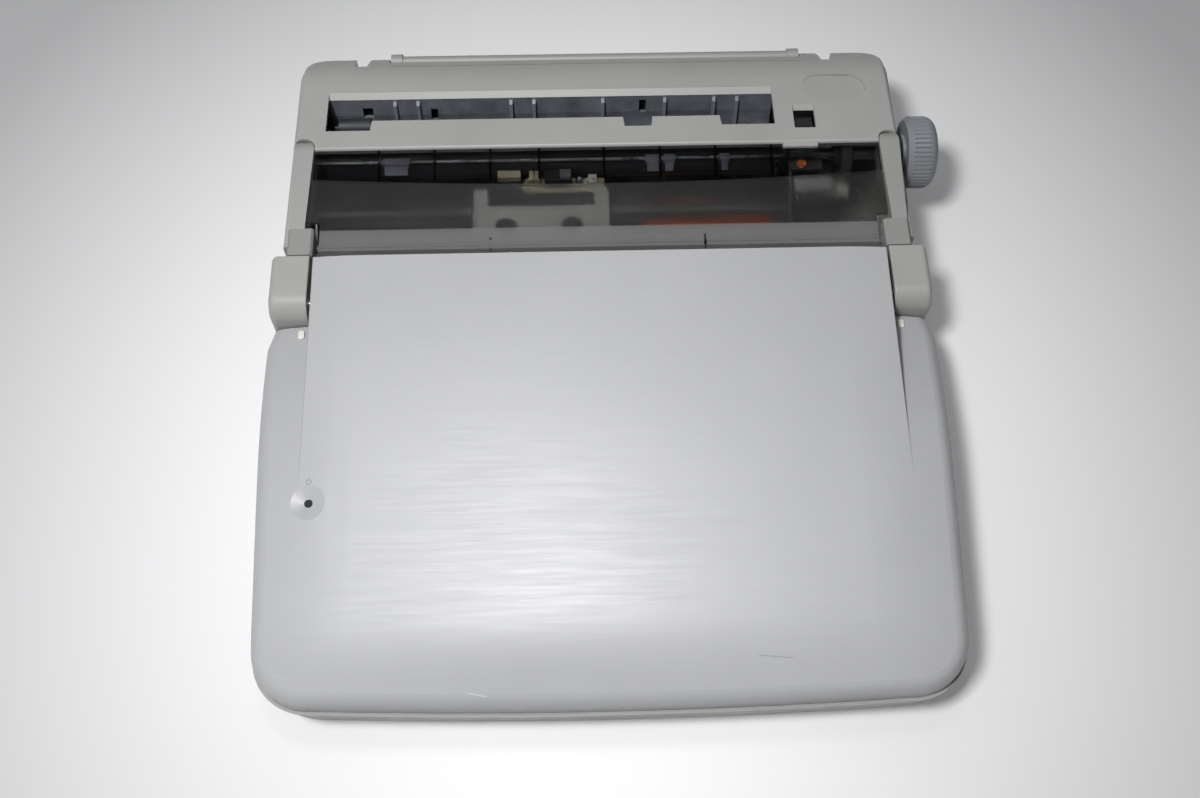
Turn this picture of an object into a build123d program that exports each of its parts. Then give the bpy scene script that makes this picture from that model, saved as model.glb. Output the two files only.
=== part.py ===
from build123d import *
import math
import os

# A portable word processor, closed: a keyboard under a hinged screen lid in front, and a thermal printer
# with its platen, paper slot and smoked cover behind.
# All sizes are in millimetres. X runs to the right, Y to the rear, Z up from the desk, and X = 0 is the
# middle plane of the case. TO_BASE moves each finished piece so that the origin is under the middle of the
# whole machine, knob included.
TO_BASE = Location((-5.826, -33.9, 0.0))

# ---- case
FRONT_Y = -165.0  # front edge at its middle, which bows forwards
FRONT_SIDE_Y = -160.0  # front edge where the corners would meet
FRONT_HALF = 179.0  # half width at the front
HINGE_HALF = 186.4  # half width just in front of the hinges
BLOCK_HALF = 183.2  # half width beside the hinge covers
REAR_HALF = 177.6  # half width of the printer section
REAR_Y = 231.6
CORNER_R = 30.0
WALL = 2.6
BOTTOM_Z = 3.0  # underside of the case, on its feet
UNDERCUT = 6.0  # how far the bottom is pulled in from the rim
RIM_Z = 36.0  # rim that the lid closes on
PRINTER_RIM_Z = 64.0  # side walls of the printer section
FLOOR_Z = BOTTOM_Z + 1.0  # where posts and feet start inside the floor
FEET_AT = ((-150, -135), (150, -135), (-150, 205), (150, 205))
FRAME_POSTS_AT = ((-150, 112), (100, 112), (-150, 192), (100, 192))
KEY_POSTS_AT = ((-150, -138), (150, -138), (-150, -20), (0, -138), (-60, -20))
SCREWS_AT = FRAME_POSTS_AT + ((0, -138), (-60, -20))
NOTCH_X = 139.4  # notches in the rear edge
NOTCH_FLOOR_Z = 48.0

# ---- lid
LID_INSET = 1.6
LID_BOTTOM_Z = 36.4
LID_WALL = 2.4
LID_SLOPE = math.tan(math.radians(4.2))
LID_REAR_Y = 82.3
LID_REAR_Z = 74.0
LID_ROLL_Y = -116.0  # from here forwards the top rolls down to the front edge
LID_ROLL_R = 150.0
CROWN_X = 132.0  # from here outwards the top rolls down to the sides
CROWN_R = 300.0
PANEL_HALF = 158.3  # half width of the raised middle panel
SHOULDER_Y = 49.4  # where the side shoulders stop, in front of the hinge covers
SHOULDER_R = 300.0
SHOULDER_BREAK_Y = -50.0  # from here rearwards the shoulders fall away from the panel
LID_EDGE_R = 9.0
BUMPER_AT = (164.9, 43.0)

LAMP_R = 2.15
LAMP_X = -152.8
LAMP_Y = -59.4
LAMP_DROP = (abs(LAMP_X) - CROWN_X) ** 2 / (2 * CROWN_R)
LAMP_SEAT = Location(
    (LAMP_X, LAMP_Y, LID_REAR_Z - (LID_REAR_Y - LAMP_Y) * LID_SLOPE - LAMP_DROP),
    (4.2, -math.degrees((abs(LAMP_X) - CROWN_X) / CROWN_R), 0),
)

# ---- lid hinge
HINGE_Y = 61.5
HINGE_Z = 57.0
KNUCKLE_R = 11.0
HINGE_PIN_R = 3.0

# ---- printer
PLATEN_Y = 160.0
PLATEN_Z = 55.0
PLATEN_R = 11.0
PAPER_LEFT = -157.0
PAPER_RIGHT = 104.0
PAPER_MIDDLE = (PAPER_LEFT + PAPER_RIGHT) / 2
PLATEN_SHAFT_R = 3.5
RUN_FIT = 0.05
BEZEL_FRONT_Y = 151.3
BEZEL_FRONT_Z = 78.4
BEZEL_HALF = 172.8
COVER_PIVOT_Y = 97.0
COVER_PIVOT_Z = 58.0
FLAP_Y = 228.0
FLAP_Z = 62.4
FLAP_LEFT = -122.6
FLAP_RIGHT = 123.6
FLAP_R = 3.6
FLAP_MIDDLE = (FLAP_LEFT + FLAP_RIGHT) / 2
FLAP_GAP = FLAP_RIGHT - FLAP_LEFT + 1.2  # room that the case leaves it
GUIDE_Y = 132.0
GUIDE_Z = 40.0
GUIDE_R = 4.0
FRAME_Z = 20.0  # underside of the printer's steel frame
FRAME_T = 1.5
BELT_Y = 112.0
BELT_R = 5.0
PULLEY_X = (-148.0, 82.0)
PULLEY_PIN_R = 1.5

# ---- gears: module 1, platen gear and motor pinion
TEETH_PLATEN = 32
TEETH_PINION = 12
GEAR_DISTANCE = (TEETH_PLATEN + TEETH_PINION) / 2 + 0.15
PINION_ANGLE = 232.0  # direction from the platen's axis to the motor's, about +X from +Y
PINION_Y = PLATEN_Y + GEAR_DISTANCE * math.cos(math.radians(PINION_ANGLE))
PINION_Z = PLATEN_Z + GEAR_DISTANCE * math.sin(math.radians(PINION_ANGLE))

# ---- keys
UNIT = 19.05
KEY_LEFT = -147.6
KEY_TOP_Z = 40.6
KEY_SKIRT_Z = 31.6
KEY_PLATE_Z = 23.0
ROW_Y = {"space": -128.0, "shift": -109.0, "home": -90.0, "letter": -71.0, "number": -52.0}
FUNCTION_Y = -27.0


def lid_top(y):
    """Height of the lid's flat top, which rises to the rear."""
    return LID_REAR_Z - (LID_REAR_Y - y) * LID_SLOPE


def case_plan(level, inset=0.0, front=None, rear=None):
    """Plan outline of the case at a height, pulled in by inset and cut to a front and a rear line."""
    with BuildSketch(Plane.XY.offset(level)) as plan:
        with BuildLine():
            ThreePointArc((-FRONT_HALF, FRONT_SIDE_Y), (0, FRONT_Y), (FRONT_HALF, FRONT_SIDE_Y))
            side = FilletPolyline(
                (FRONT_HALF, FRONT_SIDE_Y),
                (HINGE_HALF, 37.0),
                (BLOCK_HALF, 53.0),
                (BLOCK_HALF, 86.5),
                (REAR_HALF, 93.5),
                (REAR_HALF - 1.2, REAR_Y),
                (0, REAR_Y),
                radius=[14.0, 14.0, 4.0, 2.0, 18.0],
            )
            mirror(side, about=Plane.YZ)
        make_face()
        corners = plan.vertices().filter_by(lambda v: abs(abs(v.X) - FRONT_HALF) < 0.01 and v.Y < -150)
        fillet(corners, CORNER_R)
        if inset:
            offset(amount=-inset, mode=Mode.REPLACE)
        if front is not None:
            with Locations((0, front - 300)):
                Rectangle(600, 600, mode=Mode.SUBTRACT)
        if rear is not None:
            with Locations((0, rear + 300)):
                Rectangle(600, 600, mode=Mode.SUBTRACT)
    return plan.sketch


def bezel_curve(lower=0.0):
    """Side profile of the printer's top case: flat, then rolling down to the rear edge."""
    with BuildSketch(Plane.YZ.offset(-200)) as profile:
        with BuildLine():
            start = Line((140, BEZEL_FRONT_Z + 0.65 - lower), (200, 75.6 - lower))
            roll = TangentArc((200, 75.6 - lower), (REAR_Y, 61.0 - lower), tangent=start % 1)
            Polyline(roll @ 1, (REAR_Y, 30), (140, 30), start @ 0)
        make_face()
    return profile.sketch


def notch_plan():
    """Plan of the two notches in the rear edge, a little wider at the rear."""
    with BuildSketch(Plane.XY.offset(NOTCH_FLOOR_Z)) as plan:
        with Locations((-NOTCH_X, 225.7), (NOTCH_X, 225.7)):
            Trapezoid(10.2, 15.4, 84, rotation=180)
    return plan.sketch


def gear_blank(teeth, at, x_low, width, phase):
    """A spur gear of module 1 with straight-sided teeth, its axis along X."""
    pitch_r = teeth / 2
    root_r = pitch_r - 1.2
    with BuildSketch(Plane((x_low, at[0], at[1]), x_dir=(0, 1, 0), z_dir=(1, 0, 0))) as gear:
        Circle(root_r)
        with PolarLocations(0, teeth, start_angle=phase):
            with BuildLine():
                Polyline(
                    (root_r - 0.5, -1.05),
                    (pitch_r, -0.68),
                    (pitch_r + 0.85, -0.32),
                    (pitch_r + 0.85, 0.32),
                    (pitch_r, 0.68),
                    (root_r - 0.5, 1.05),
                    close=True,
                )
            make_face()
    return gear.sketch


# ================================================================ case
# lower case: a tray with undercut sides in front and taller walls round the printer
with BuildPart() as case_cavity:
    add(case_plan(BOTTOM_Z + WALL, UNDERCUT + WALL))
    add(case_plan(RIM_Z + 0.5, WALL))
    loft()
    add(case_plan(RIM_Z, WALL, front=80))
    extrude(amount=40)

with BuildPart() as printer_walls:
    add(case_plan(RIM_Z, 0.0, front=95))
    extrude(amount=PRINTER_RIM_Z - RIM_Z)
    fillet(printer_walls.edges().group_by(Axis.Z)[-1].filter_by(lambda e: e.center().Y > 96), 2.0)

# what stands above the rim where the printer section rolls down to its rear edge
with BuildPart() as above_rim:
    with Locations((0, 216.5, 75)):
        Box(400, 33, 34)
    add(bezel_curve(2.0))
    extrude(amount=400, dir=(1, 0, 0), mode=Mode.SUBTRACT)

with BuildPart() as lower_case:
    add(case_plan(BOTTOM_Z, UNDERCUT))
    add(case_plan(RIM_Z))
    loft()
    add(printer_walls.part)
    add(above_rim.part, mode=Mode.SUBTRACT)
    add(case_cavity.part, mode=Mode.SUBTRACT)
    # thick rear wall behind the paper support, with the pocket that the flap hangs in
    with BuildSketch(Plane.XY.offset(FLOOR_Z)) as rear_pad:
        with Locations((FLAP_MIDDLE, 227.4)):
            Rectangle(FLAP_GAP + 6.8, 5.6)
    extrude(amount=51.0)
    with Locations((FLAP_MIDDLE, REAR_Y, 45.5)):
        Box(FLAP_GAP, 8.4, 34.0, mode=Mode.SUBTRACT)
    # rear wall stops under the top case
    with Locations((0, 232, 70)):
        Box(322, 14, 30, mode=Mode.SUBTRACT)
    # seat for the top case in the rear corners
    with BuildSketch(Plane.XY.offset(57.9)) as top_seat:
        with Locations((0, 210)):
            Rectangle(2 * (BEZEL_HALF + 0.3), 2 * (REAR_Y - 210) + 0.6)
        fillet(top_seat.vertices().group_by(Axis.Y)[-1], 17.2)
    extrude(amount=30, mode=Mode.SUBTRACT)
    # notches in the rear edge, each with its own floor and walls
    with Locations((-NOTCH_X, 223.6, 51.75), (NOTCH_X, 223.6, 51.75)):
        Box(14.2, 15.2, 12.3)
    add(notch_plan())
    extrude(amount=40, mode=Mode.SUBTRACT)
    # hole for the platen shaft
    with Locations((REAR_HALF, PLATEN_Y, PLATEN_Z)):
        Cylinder(6.0, 20, rotation=(0, 90, 0), mode=Mode.SUBTRACT)
    # posts for the printer frame, the key plate and the bottom screws
    with BuildSketch(Plane.XY.offset(FLOOR_Z)) as posts:
        with Locations(*FRAME_POSTS_AT):
            Circle(4.5)
    extrude(amount=FRAME_Z - FLOOR_Z)
    with BuildSketch(Plane.XY.offset(FLOOR_Z)) as key_posts:
        with Locations(*KEY_POSTS_AT):
            Circle(4.0)
    extrude(amount=KEY_PLATE_Z - FLOOR_Z)
    # window for the floppy drive in the right wall
    with Locations((183, -19, 14.6)):
        Box(30, 102.4, 17.2, mode=Mode.SUBTRACT)
    # windows for the two lid release buttons
    with Locations((-181, -100, 27), (181, -100, 27)):
        Box(16, 24.8, 8.8, mode=Mode.SUBTRACT)
    # window for the power switch in the left wall, and for the mains inlet in the rear wall
    with Locations((-REAR_HALF, 203, 47)):
        Box(16, 15.6, 9.8, mode=Mode.SUBTRACT)
    with Locations((-154, REAR_Y, 25)):
        Box(23.6, 22, 15.6, mode=Mode.SUBTRACT)
    # cooling slots in the left wall
    with Locations((-REAR_HALF, 140, 46)):
        with GridLocations(1, 8, 1, 9):
            Box(16, 3.2, 18, mode=Mode.SUBTRACT)
    # recesses for the feet
    with BuildSketch(Plane.XY.offset(BOTTOM_Z)) as foot_seats:
        with Locations(*FEET_AT):
            Circle(8.3)
    extrude(amount=1.0, mode=Mode.SUBTRACT)
    # screw holes in the bottom
    with BuildSketch(Plane.XY.offset(BOTTOM_Z - 0.5)) as screw_holes:
        with Locations(*SCREWS_AT):
            Circle(1.6)
    extrude(amount=14, mode=Mode.SUBTRACT)
lower_case.part.label = "lower_case"

# four rubber feet in those recesses
with BuildPart() as rubber_feet:
    with BuildSketch(Plane.XY) as foot_plan:
        with Locations(*FEET_AT):
            Circle(7.2)
    extrude(amount=FLOOR_Z)
rubber_feet.part.label = "rubber_feet"

# six pan-head screws up through the bottom
with BuildPart() as case_screws:
    with BuildSketch(Plane.XY.offset(BOTTOM_Z - 1.6)) as heads:
        with Locations(*SCREWS_AT):
            Circle(3.0)
    extrude(amount=1.6)
    with BuildSketch(Plane.XY.offset(BOTTOM_Z - 0.2)) as shanks:
        with Locations(*SCREWS_AT):
            Circle(1.55)
    extrude(amount=12)
case_screws.part.label = "case_screws"

# ================================================================ keyboard deck
# deck round the keys, and the well behind it that the lid's tail swings down into
with BuildPart() as keyboard_deck:
    add(case_plan(RIM_Z - 2.5, 3.5, rear=36))
    extrude(amount=2.5)
    with BuildSketch(Plane.YZ.offset(-162.4)) as well_section:
        with BuildLine():
            FilletPolyline(
                (34.0, RIM_Z),
                (34.0, 27.5),
                (92.2, 27.5),
                (92.2, 50.0),
                (90.0, 50.0),
                (90.0, 29.7),
                (36.2, 29.7),
                (36.2, RIM_Z),
                radius=[3.2, 3.2, 0.9, 0.9, 1.0, 1.0],
            )
            Line((36.2, RIM_Z), (34.0, RIM_Z))
        make_face()
    extrude(amount=324.8)
    # end walls of the well
    for x in (-162.4, 160.2):
        with BuildSketch(Plane.YZ.offset(x)) as well_end:
            with Locations((63.0, 31.8)):
                Rectangle(58.0, 8.4)
        extrude(amount=2.2)
    # ledges beside the well that carry the hinge covers
    for side in (-1, 1):
        with BuildSketch(Plane.XY.offset(RIM_Z - 2.5)) as ledge:
            with Locations((side * 170.6, 59.6)):
                Rectangle(16.8, 53.6)
        extrude(amount=2.5)
    # openings for the main key block and the function row
    with BuildSketch(Plane.XY.offset(RIM_Z - 3)) as key_openings:
        with Locations((0.05, -90)):
            RectangleRounded(297.4, 97.4, 2.0)
        with Locations((0.05, FUNCTION_Y)):
            RectangleRounded(297.4, 15.0, 2.0)
    extrude(amount=4, mode=Mode.SUBTRACT)
    # slots for the latch hooks
    with BuildSketch(Plane.XY.offset(RIM_Z - 3)) as hook_slots:
        for side in (-1, 1):
            with Locations((side * 168.2, -102)):
                Rectangle(6.4, 17)
    extrude(amount=4, mode=Mode.SUBTRACT)
    # shallow card tray behind the function keys
    with BuildSketch(Plane.XY.offset(RIM_Z)) as tray:
        with Locations((0, 5)):
            RectangleRounded(290, 26, 3)
    extrude(amount=-0.8, mode=Mode.SUBTRACT)
keyboard_deck.part.label = "keyboard_deck"

# steel plate that the keys stand on
with BuildPart() as key_plate:
    with BuildSketch(Plane.XY.offset(KEY_PLATE_Z)) as plate:
        with Locations((0, -79)):
            RectangleRounded(312, 130, 4)
        with Locations((-130, -27), (130, -27), (-75, -27), (75, -27)):
            RectangleRounded(30, 4, 1.5, mode=Mode.SUBTRACT)
    extrude(amount=1.2)
key_plate.part.label = "key_plate"


def key_cap(width, depth):
    """One key: a tapered cap with cut corners on a square stem."""
    with BuildPart() as cap:
        with BuildSketch(Plane.XY.offset(KEY_SKIRT_Z)) as skirt:
            Rectangle(width - 1.2, depth - 1.2)
            chamfer(skirt.vertices(), 0.9)
        with BuildSketch(Plane.XY.offset(KEY_TOP_Z)) as top:
            with Locations((0, 0.4)):
                Rectangle(width - 5.4, depth - 5.6)
            chamfer(top.vertices(), 0.9)
        loft()
        with BuildSketch(Plane.XY.offset(KEY_SKIRT_Z - 3.2)) as stem:
            Rectangle(5.0, 5.0)
        extrude(amount=3.6)
    return cap.part


def key_row(widths, y):
    """Centres of a row of keys of these widths in key units, laid from the left."""
    x = KEY_LEFT
    spots = []
    for width in widths:
        spots.append((x + width * UNIT / 2, y, width))
        x += width * UNIT
    return spots


ROWS = {
    "number_keys": key_row([1.0] * 14 + [1.5], ROW_Y["number"]),
    "letter_keys": key_row([1.5] + [1.0] * 12 + [2.0], ROW_Y["letter"]),
    "home_keys": key_row([1.75] + [1.0] * 12 + [1.75], ROW_Y["home"]),
    "shift_keys": key_row([2.25] + [1.0] * 10 + [1.25, 1.0, 1.0], ROW_Y["shift"]),
}
BOTTOM_ROW = key_row([1.25, 1.25, 1.25, 4.5, 1.25, 1.25, 1.75, 1.0, 1.0, 1.0], ROW_Y["space"])

with BuildPart() as number_keys:
    for x, y, width in ROWS["number_keys"]:
        add(key_cap(width * UNIT, UNIT).moved(Location((x, y, 0))))
number_keys.part.label = "number_keys"

with BuildPart() as letter_keys:
    for x, y, width in ROWS["letter_keys"]:
        add(key_cap(width * UNIT, UNIT).moved(Location((x, y, 0))))
letter_keys.part.label = "letter_keys"

with BuildPart() as home_keys:
    for x, y, width in ROWS["home_keys"]:
        add(key_cap(width * UNIT, UNIT).moved(Location((x, y, 0))))
home_keys.part.label = "home_keys"

with BuildPart() as shift_keys:
    for x, y, width in ROWS["shift_keys"]:
        add(key_cap(width * UNIT, UNIT).moved(Location((x, y, 0))))
shift_keys.part.label = "shift_keys"

with BuildPart() as bottom_keys:
    for x, y, width in BOTTOM_ROW[:3] + BOTTOM_ROW[4:]:
        add(key_cap(width * UNIT, UNIT).moved(Location((x, y, 0))))
bottom_keys.part.label = "bottom_keys"

with BuildPart() as space_bar:
    x, y, width = BOTTOM_ROW[3]
    add(key_cap(width * UNIT, UNIT).moved(Location((x, y, 0))))
    with BuildSketch(Plane.XY.offset(KEY_SKIRT_Z - 3.2)) as bar_feet:
        with Locations((x - 34, y), (x + 34, y)):
            Rectangle(4, 4)
    extrude(amount=3.6)
space_bar.part.label = "space_bar"

with BuildPart() as function_keys:
    for x, y, width in key_row([0.97] * 16, FUNCTION_Y):
        add(key_cap(width * UNIT, 14.2).moved(Location((x, y, 0))))
function_keys.part.label = "function_keys"

# ================================================================ lid
def lid_path(lower, fall):
    """Side line of the lid's top: rolling down to the front, flat, then flat or falling to the rear."""
    roll_z = lid_top(LID_ROLL_Y) - lower
    break_z = lid_top(SHOULDER_BREAK_Y) - lower
    with BuildLine(Plane.YZ) as path:
        JernArc((LID_ROLL_Y, roll_z), (-1, -LID_SLOPE), LID_ROLL_R - lower, 24)
        Line((LID_ROLL_Y, roll_z), (SHOULDER_BREAK_Y, break_z))
        if fall:
            JernArc((SHOULDER_BREAK_Y, break_z), (1, LID_SLOPE), SHOULDER_R - lower, -22)
        else:
            Line((SHOULDER_BREAK_Y, break_z), (LID_REAR_Y + 6, lid_top(LID_REAR_Y + 6) - lower))
    return path.wires()[0]


def lid_block(lower, fall):
    """A block whose top rolls down at the front and is crowned towards both sides."""
    path = lid_path(lower, fall)
    front = min((path @ 0, path @ 1), key=lambda point: point.Y)
    heading = path % 0 if front == path @ 0 else path % 1
    heading = heading if heading.Y > 0 else -heading
    with BuildPart() as block:
        with BuildSketch(Plane(front, x_dir=(-1, 0, 0), z_dir=heading)):
            with BuildLine():
                right = JernArc((CROWN_X, 0), (1, 0), CROWN_R - lower, -12)
                left = JernArc((-CROWN_X, 0), (-1, 0), CROWN_R - lower, 12)
                foot = Vector(0, 26)
                Line((-CROWN_X, 0), (CROWN_X, 0))
                Polyline(right @ 1, right @ 1 - foot, left @ 1 - foot, left @ 1)
            make_face()
        sweep(path=path)
    return block.part


def top_rim(part, rear_y):
    """Edges round the top of a lid-shaped solid, without its rear edge and the upright ones."""
    lying = part.edges().filter_by(lambda e: e.center().Z > 43 and abs((e % 0.5).Z) < 0.8)
    return lying.filter_by(
        lambda e: e.center().Y < rear_y - 1.0 and (abs(e.center().X) > 160 or e.center().Y < -154)
    )


with BuildPart() as lid_cavity:
    add(case_plan(LID_BOTTOM_Z - 1, LID_INSET + LID_WALL, rear=SHOULDER_Y - LID_WALL))
    extrude(amount=60)
    add(lid_block(LID_WALL, True), mode=Mode.INTERSECT)
    fillet(top_rim(lid_cavity, SHOULDER_Y - LID_WALL), LID_EDGE_R - LID_WALL)

with BuildPart() as panel_cavity:
    with BuildSketch(Plane.YZ):
        with BuildLine():
            Polyline(
                (SHOULDER_BREAK_Y, 40.0),
                (SHOULDER_BREAK_Y, 80.0),
                (LID_REAR_Y - 2.0, 80.0),
                (LID_REAR_Y - 2.8, 70.0),
                (77.2, 54.0),
                (70.8, 45.4),
                (SHOULDER_Y - LID_WALL, 45.4),
                (SHOULDER_Y - LID_WALL, 40.0),
                close=True,
            )
        make_face()
    extrude(amount=PANEL_HALF - LID_WALL, both=True)
    add(lid_block(LID_WALL, False), mode=Mode.INTERSECT)

# raised middle panel with the tail behind the hinge line
with BuildPart() as raised_panel:
    with BuildSketch(Plane.YZ) as panel_section:
        with BuildLine():
            Polyline(
                (SHOULDER_BREAK_Y, 50.0),
                (SHOULDER_BREAK_Y, 80.0),
                (LID_REAR_Y + 0.8, 80.0),
                (79.6, 53.0),
                (72.0, 43.0),
                (SHOULDER_Y - 2.0, 43.0),
                (SHOULDER_Y - 2.0, 50.0),
                close=True,
            )
        make_face()
        fillet(panel_section.vertices().filter_by(lambda v: v.Z < 44 and v.Y > 70 or abs(v.Z - 53) < 0.1), 4.0)
    extrude(amount=PANEL_HALF, both=True)
    add(lid_block(0.0, False), mode=Mode.INTERSECT)

with BuildPart() as lid_shell:
    add(case_plan(LID_BOTTOM_Z, LID_INSET, rear=SHOULDER_Y))
    extrude(amount=60)
    add(lid_block(0.0, True), mode=Mode.INTERSECT)
    fillet(top_rim(lid_shell, SHOULDER_Y), LID_EDGE_R)
    add(raised_panel.part)
    add(lid_cavity.part, mode=Mode.SUBTRACT)
    add(panel_cavity.part, mode=Mode.SUBTRACT)
    # finger groove between the lid and the case along the straight front
    with Locations((0, FRONT_Y + 4, LID_BOTTOM_Z)):
        Box(302, 24, 2.0, mode=Mode.SUBTRACT)
    # dished seat and hole for the power lamp
    with Locations(LAMP_SEAT):
        Cone(2.6, 9.4, 2.0, align=(Align.CENTER, Align.CENTER, Align.MAX), mode=Mode.SUBTRACT)
        Cylinder(LAMP_R + RUN_FIT, 12, mode=Mode.SUBTRACT)
    # seats for the two bumpers
    with BuildSketch(Plane.XY.offset(53.2)) as bumper_seats:
        with Locations((-BUMPER_AT[0], BUMPER_AT[1]), BUMPER_AT):
            RectangleRounded(3.2, 5.2, 1.2)
    extrude(amount=8, mode=Mode.SUBTRACT)
    # holes for the hinge pins
    with Locations((0, HINGE_Y, HINGE_Z)):
        Cylinder(HINGE_PIN_R, 400, rotation=(0, 90, 0), mode=Mode.SUBTRACT)
lid_shell.part.label = "lid_shell"

# lens of the power lamp
with BuildPart() as lamp_lens:
    with Locations(LAMP_SEAT):
        Cylinder(LAMP_R, 1.7 + 3.4, align=(Align.CENTER, Align.CENTER, Align.MAX))
        Cylinder(3.6, 1.7, align=(Align.CENTER, Align.CENTER, Align.MAX), mode=Mode.SUBTRACT)
lamp_lens.part.label = "lamp_lens"

# two small rubber bumpers on the lid's shoulders, in front of the hinge covers
with BuildPart() as lid_bumpers:
    with BuildSketch(Plane.XY.offset(53.2)) as bumpers:
        with Locations((-BUMPER_AT[0], BUMPER_AT[1]), BUMPER_AT):
            RectangleRounded(3.2, 5.2, 1.2)
    extrude(amount=2.8)
lid_bumpers.part.label = "lid_bumpers"

# inner cover of the lid, round the screen
BEZEL_Z = 42.0
SCREEN_Y = -50.0
SLIDER_X = 136.0
with BuildPart() as screen_bezel:
    add(case_plan(BEZEL_Z, LID_INSET + LID_WALL + 1.4, rear=46.6))
    extrude(amount=2.2)
    with BuildSketch(Plane.XY.offset(BEZEL_Z)) as screen_opening:
        with Locations((0, SCREEN_Y)):
            RectangleRounded(216, 128, 3)
    extrude(amount=2.2, mode=Mode.SUBTRACT)
    opening_edges = screen_bezel.edges().filter_by(
        lambda e: abs(e.center().Z - BEZEL_Z) < 0.01 and abs(e.center().X) < 109 and -115 < e.center().Y < 15
    )
    chamfer(opening_edges, 1.2)
    with BuildSketch(Plane.XY.offset(BEZEL_Z)) as slider_slot:
        with Locations((SLIDER_X, -53)):
            SlotOverall(42, 3.4, rotation=90)
    extrude(amount=2.2, mode=Mode.SUBTRACT)
    # latch hooks on both sides
    for side in (-1, 1):
        with BuildSketch(Plane.XZ.offset(104)) as hook:
            with BuildLine():
                Polyline(
                    (side * 166.6, 42.2),
                    (side * 166.6, 26.8),
                    (side * 170.0, 29.2),
                    (side * 168.8, 30.4),
                    (side * 168.8, 42.2),
                    close=True,
                )
            make_face()
        extrude(amount=-8.0)
screen_bezel.part.label = "screen_bezel"

with BuildPart() as screen_window:
    with BuildSketch(Plane.XY.offset(BEZEL_Z + 2.2)) as window:
        with Locations((0, SCREEN_Y)):
            Rectangle(224, 136)
    extrude(amount=1.4)
screen_window.part.label = "screen_window"

with BuildPart() as lcd_panel:
    with BuildSketch(Plane.XY.offset(BEZEL_Z + 3.6)) as lcd:
        with Locations((0, SCREEN_Y)):
            Rectangle(240, 150)
    extrude(amount=6.4)
    with BuildSketch(Plane.XY.offset(52.0)) as driver_board:
        with Locations((0, 10)):
            Rectangle(200, 24)
    extrude(amount=1.6)
lcd_panel.part.label = "lcd_panel"

with BuildPart() as contrast_slider:
    with BuildSketch(Plane.XY.offset(44.4)) as slider_base:
        with Locations((SLIDER_X, -60)):
            Rectangle(8, 10)
    extrude(amount=1.6)
    with BuildSketch(Plane.XY.offset(41.4)) as slider_stem:
        with Locations((SLIDER_X, -60)):
            Rectangle(2.8, 7)
    extrude(amount=3.2)
contrast_slider.part.label = "contrast_slider"

# ================================================================ hinges
# pins fixed in the lid's tail, turning in brackets under the hinge covers
with BuildPart() as hinge_pins:
    with Locations((-163.5, HINGE_Y, HINGE_Z), (163.5, HINGE_Y, HINGE_Z)):
        Cylinder(HINGE_PIN_R, 25, rotation=(0, 90, 0))
    with Locations((-152.5, HINGE_Y, HINGE_Z), (152.5, HINGE_Y, HINGE_Z)):
        Cylinder(7.0, 3.0, rotation=(0, 90, 0))
hinge_pins.part.label = "hinge_pins"

with BuildPart() as hinge_brackets:
    for side in (-1, 1):
        with BuildSketch(Plane.YZ.offset(side * 170.0 - 4.0)) as bracket:
            with Locations((HINGE_Y, HINGE_Z)):
                Circle(6.2)
            with Locations((HINGE_Y + 1.5, 46.5)):
                Rectangle(9.0, 21.0)
            with Locations((HINGE_Y + 5.0, 37.0)):
                Rectangle(25.0, 2.0)
            with Locations((HINGE_Y, HINGE_Z)):
                Circle(HINGE_PIN_R + RUN_FIT, mode=Mode.SUBTRACT)
        extrude(amount=8.0)
hinge_brackets.part.label = "hinge_brackets"


def hinge_cover_section(x, inset=0.0):
    """Side view of a hinge cover: flat top, and a front that rolls down round the hinge."""
    foot_z = RIM_Z if inset == 0 else RIM_Z - 1
    top_z = HINGE_Z + KNUCKLE_R - inset
    front_y = HINGE_Y - KNUCKLE_R + inset
    with BuildSketch(Plane.YZ.offset(x)) as section:
        with BuildLine():
            Polyline((front_y, HINGE_Z), (front_y, foot_z), (86.4 - inset, foot_z), (86.4 - inset, top_z),
                     (HINGE_Y, top_z))
            RadiusArc((HINGE_Y, top_z), (front_y, HINGE_Z), -(KNUCKLE_R - inset))
        make_face()
    return section.sketch


with BuildPart() as hinge_cover_right:
    add(hinge_cover_section(161.2))
    extrude(amount=21.2, dir=(1, 0, 0))
    outer = hinge_cover_right.edges().filter_by(lambda e: abs(e.center().X - 182.4) < 0.01 and e.center().Z > 40)
    fillet(outer, 3.4)
    inner = hinge_cover_right.edges().filter_by(lambda e: abs(e.center().X - 161.2) < 0.01 and e.center().Z > 60)
    fillet(inner, 0.8)
    add(hinge_cover_section(163.4, 2.2))
    extrude(amount=16.8, dir=(1, 0, 0), mode=Mode.SUBTRACT)
    with Locations((163, HINGE_Y, HINGE_Z)):
        Cylinder(4.2, 8, rotation=(0, 90, 0), mode=Mode.SUBTRACT)
hinge_cover_right.part.label = "hinge_cover_right"

with BuildPart() as hinge_cover_left:
    mirror(hinge_cover_right.part, about=Plane.YZ)
hinge_cover_left.part.label = "hinge_cover_left"

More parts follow.
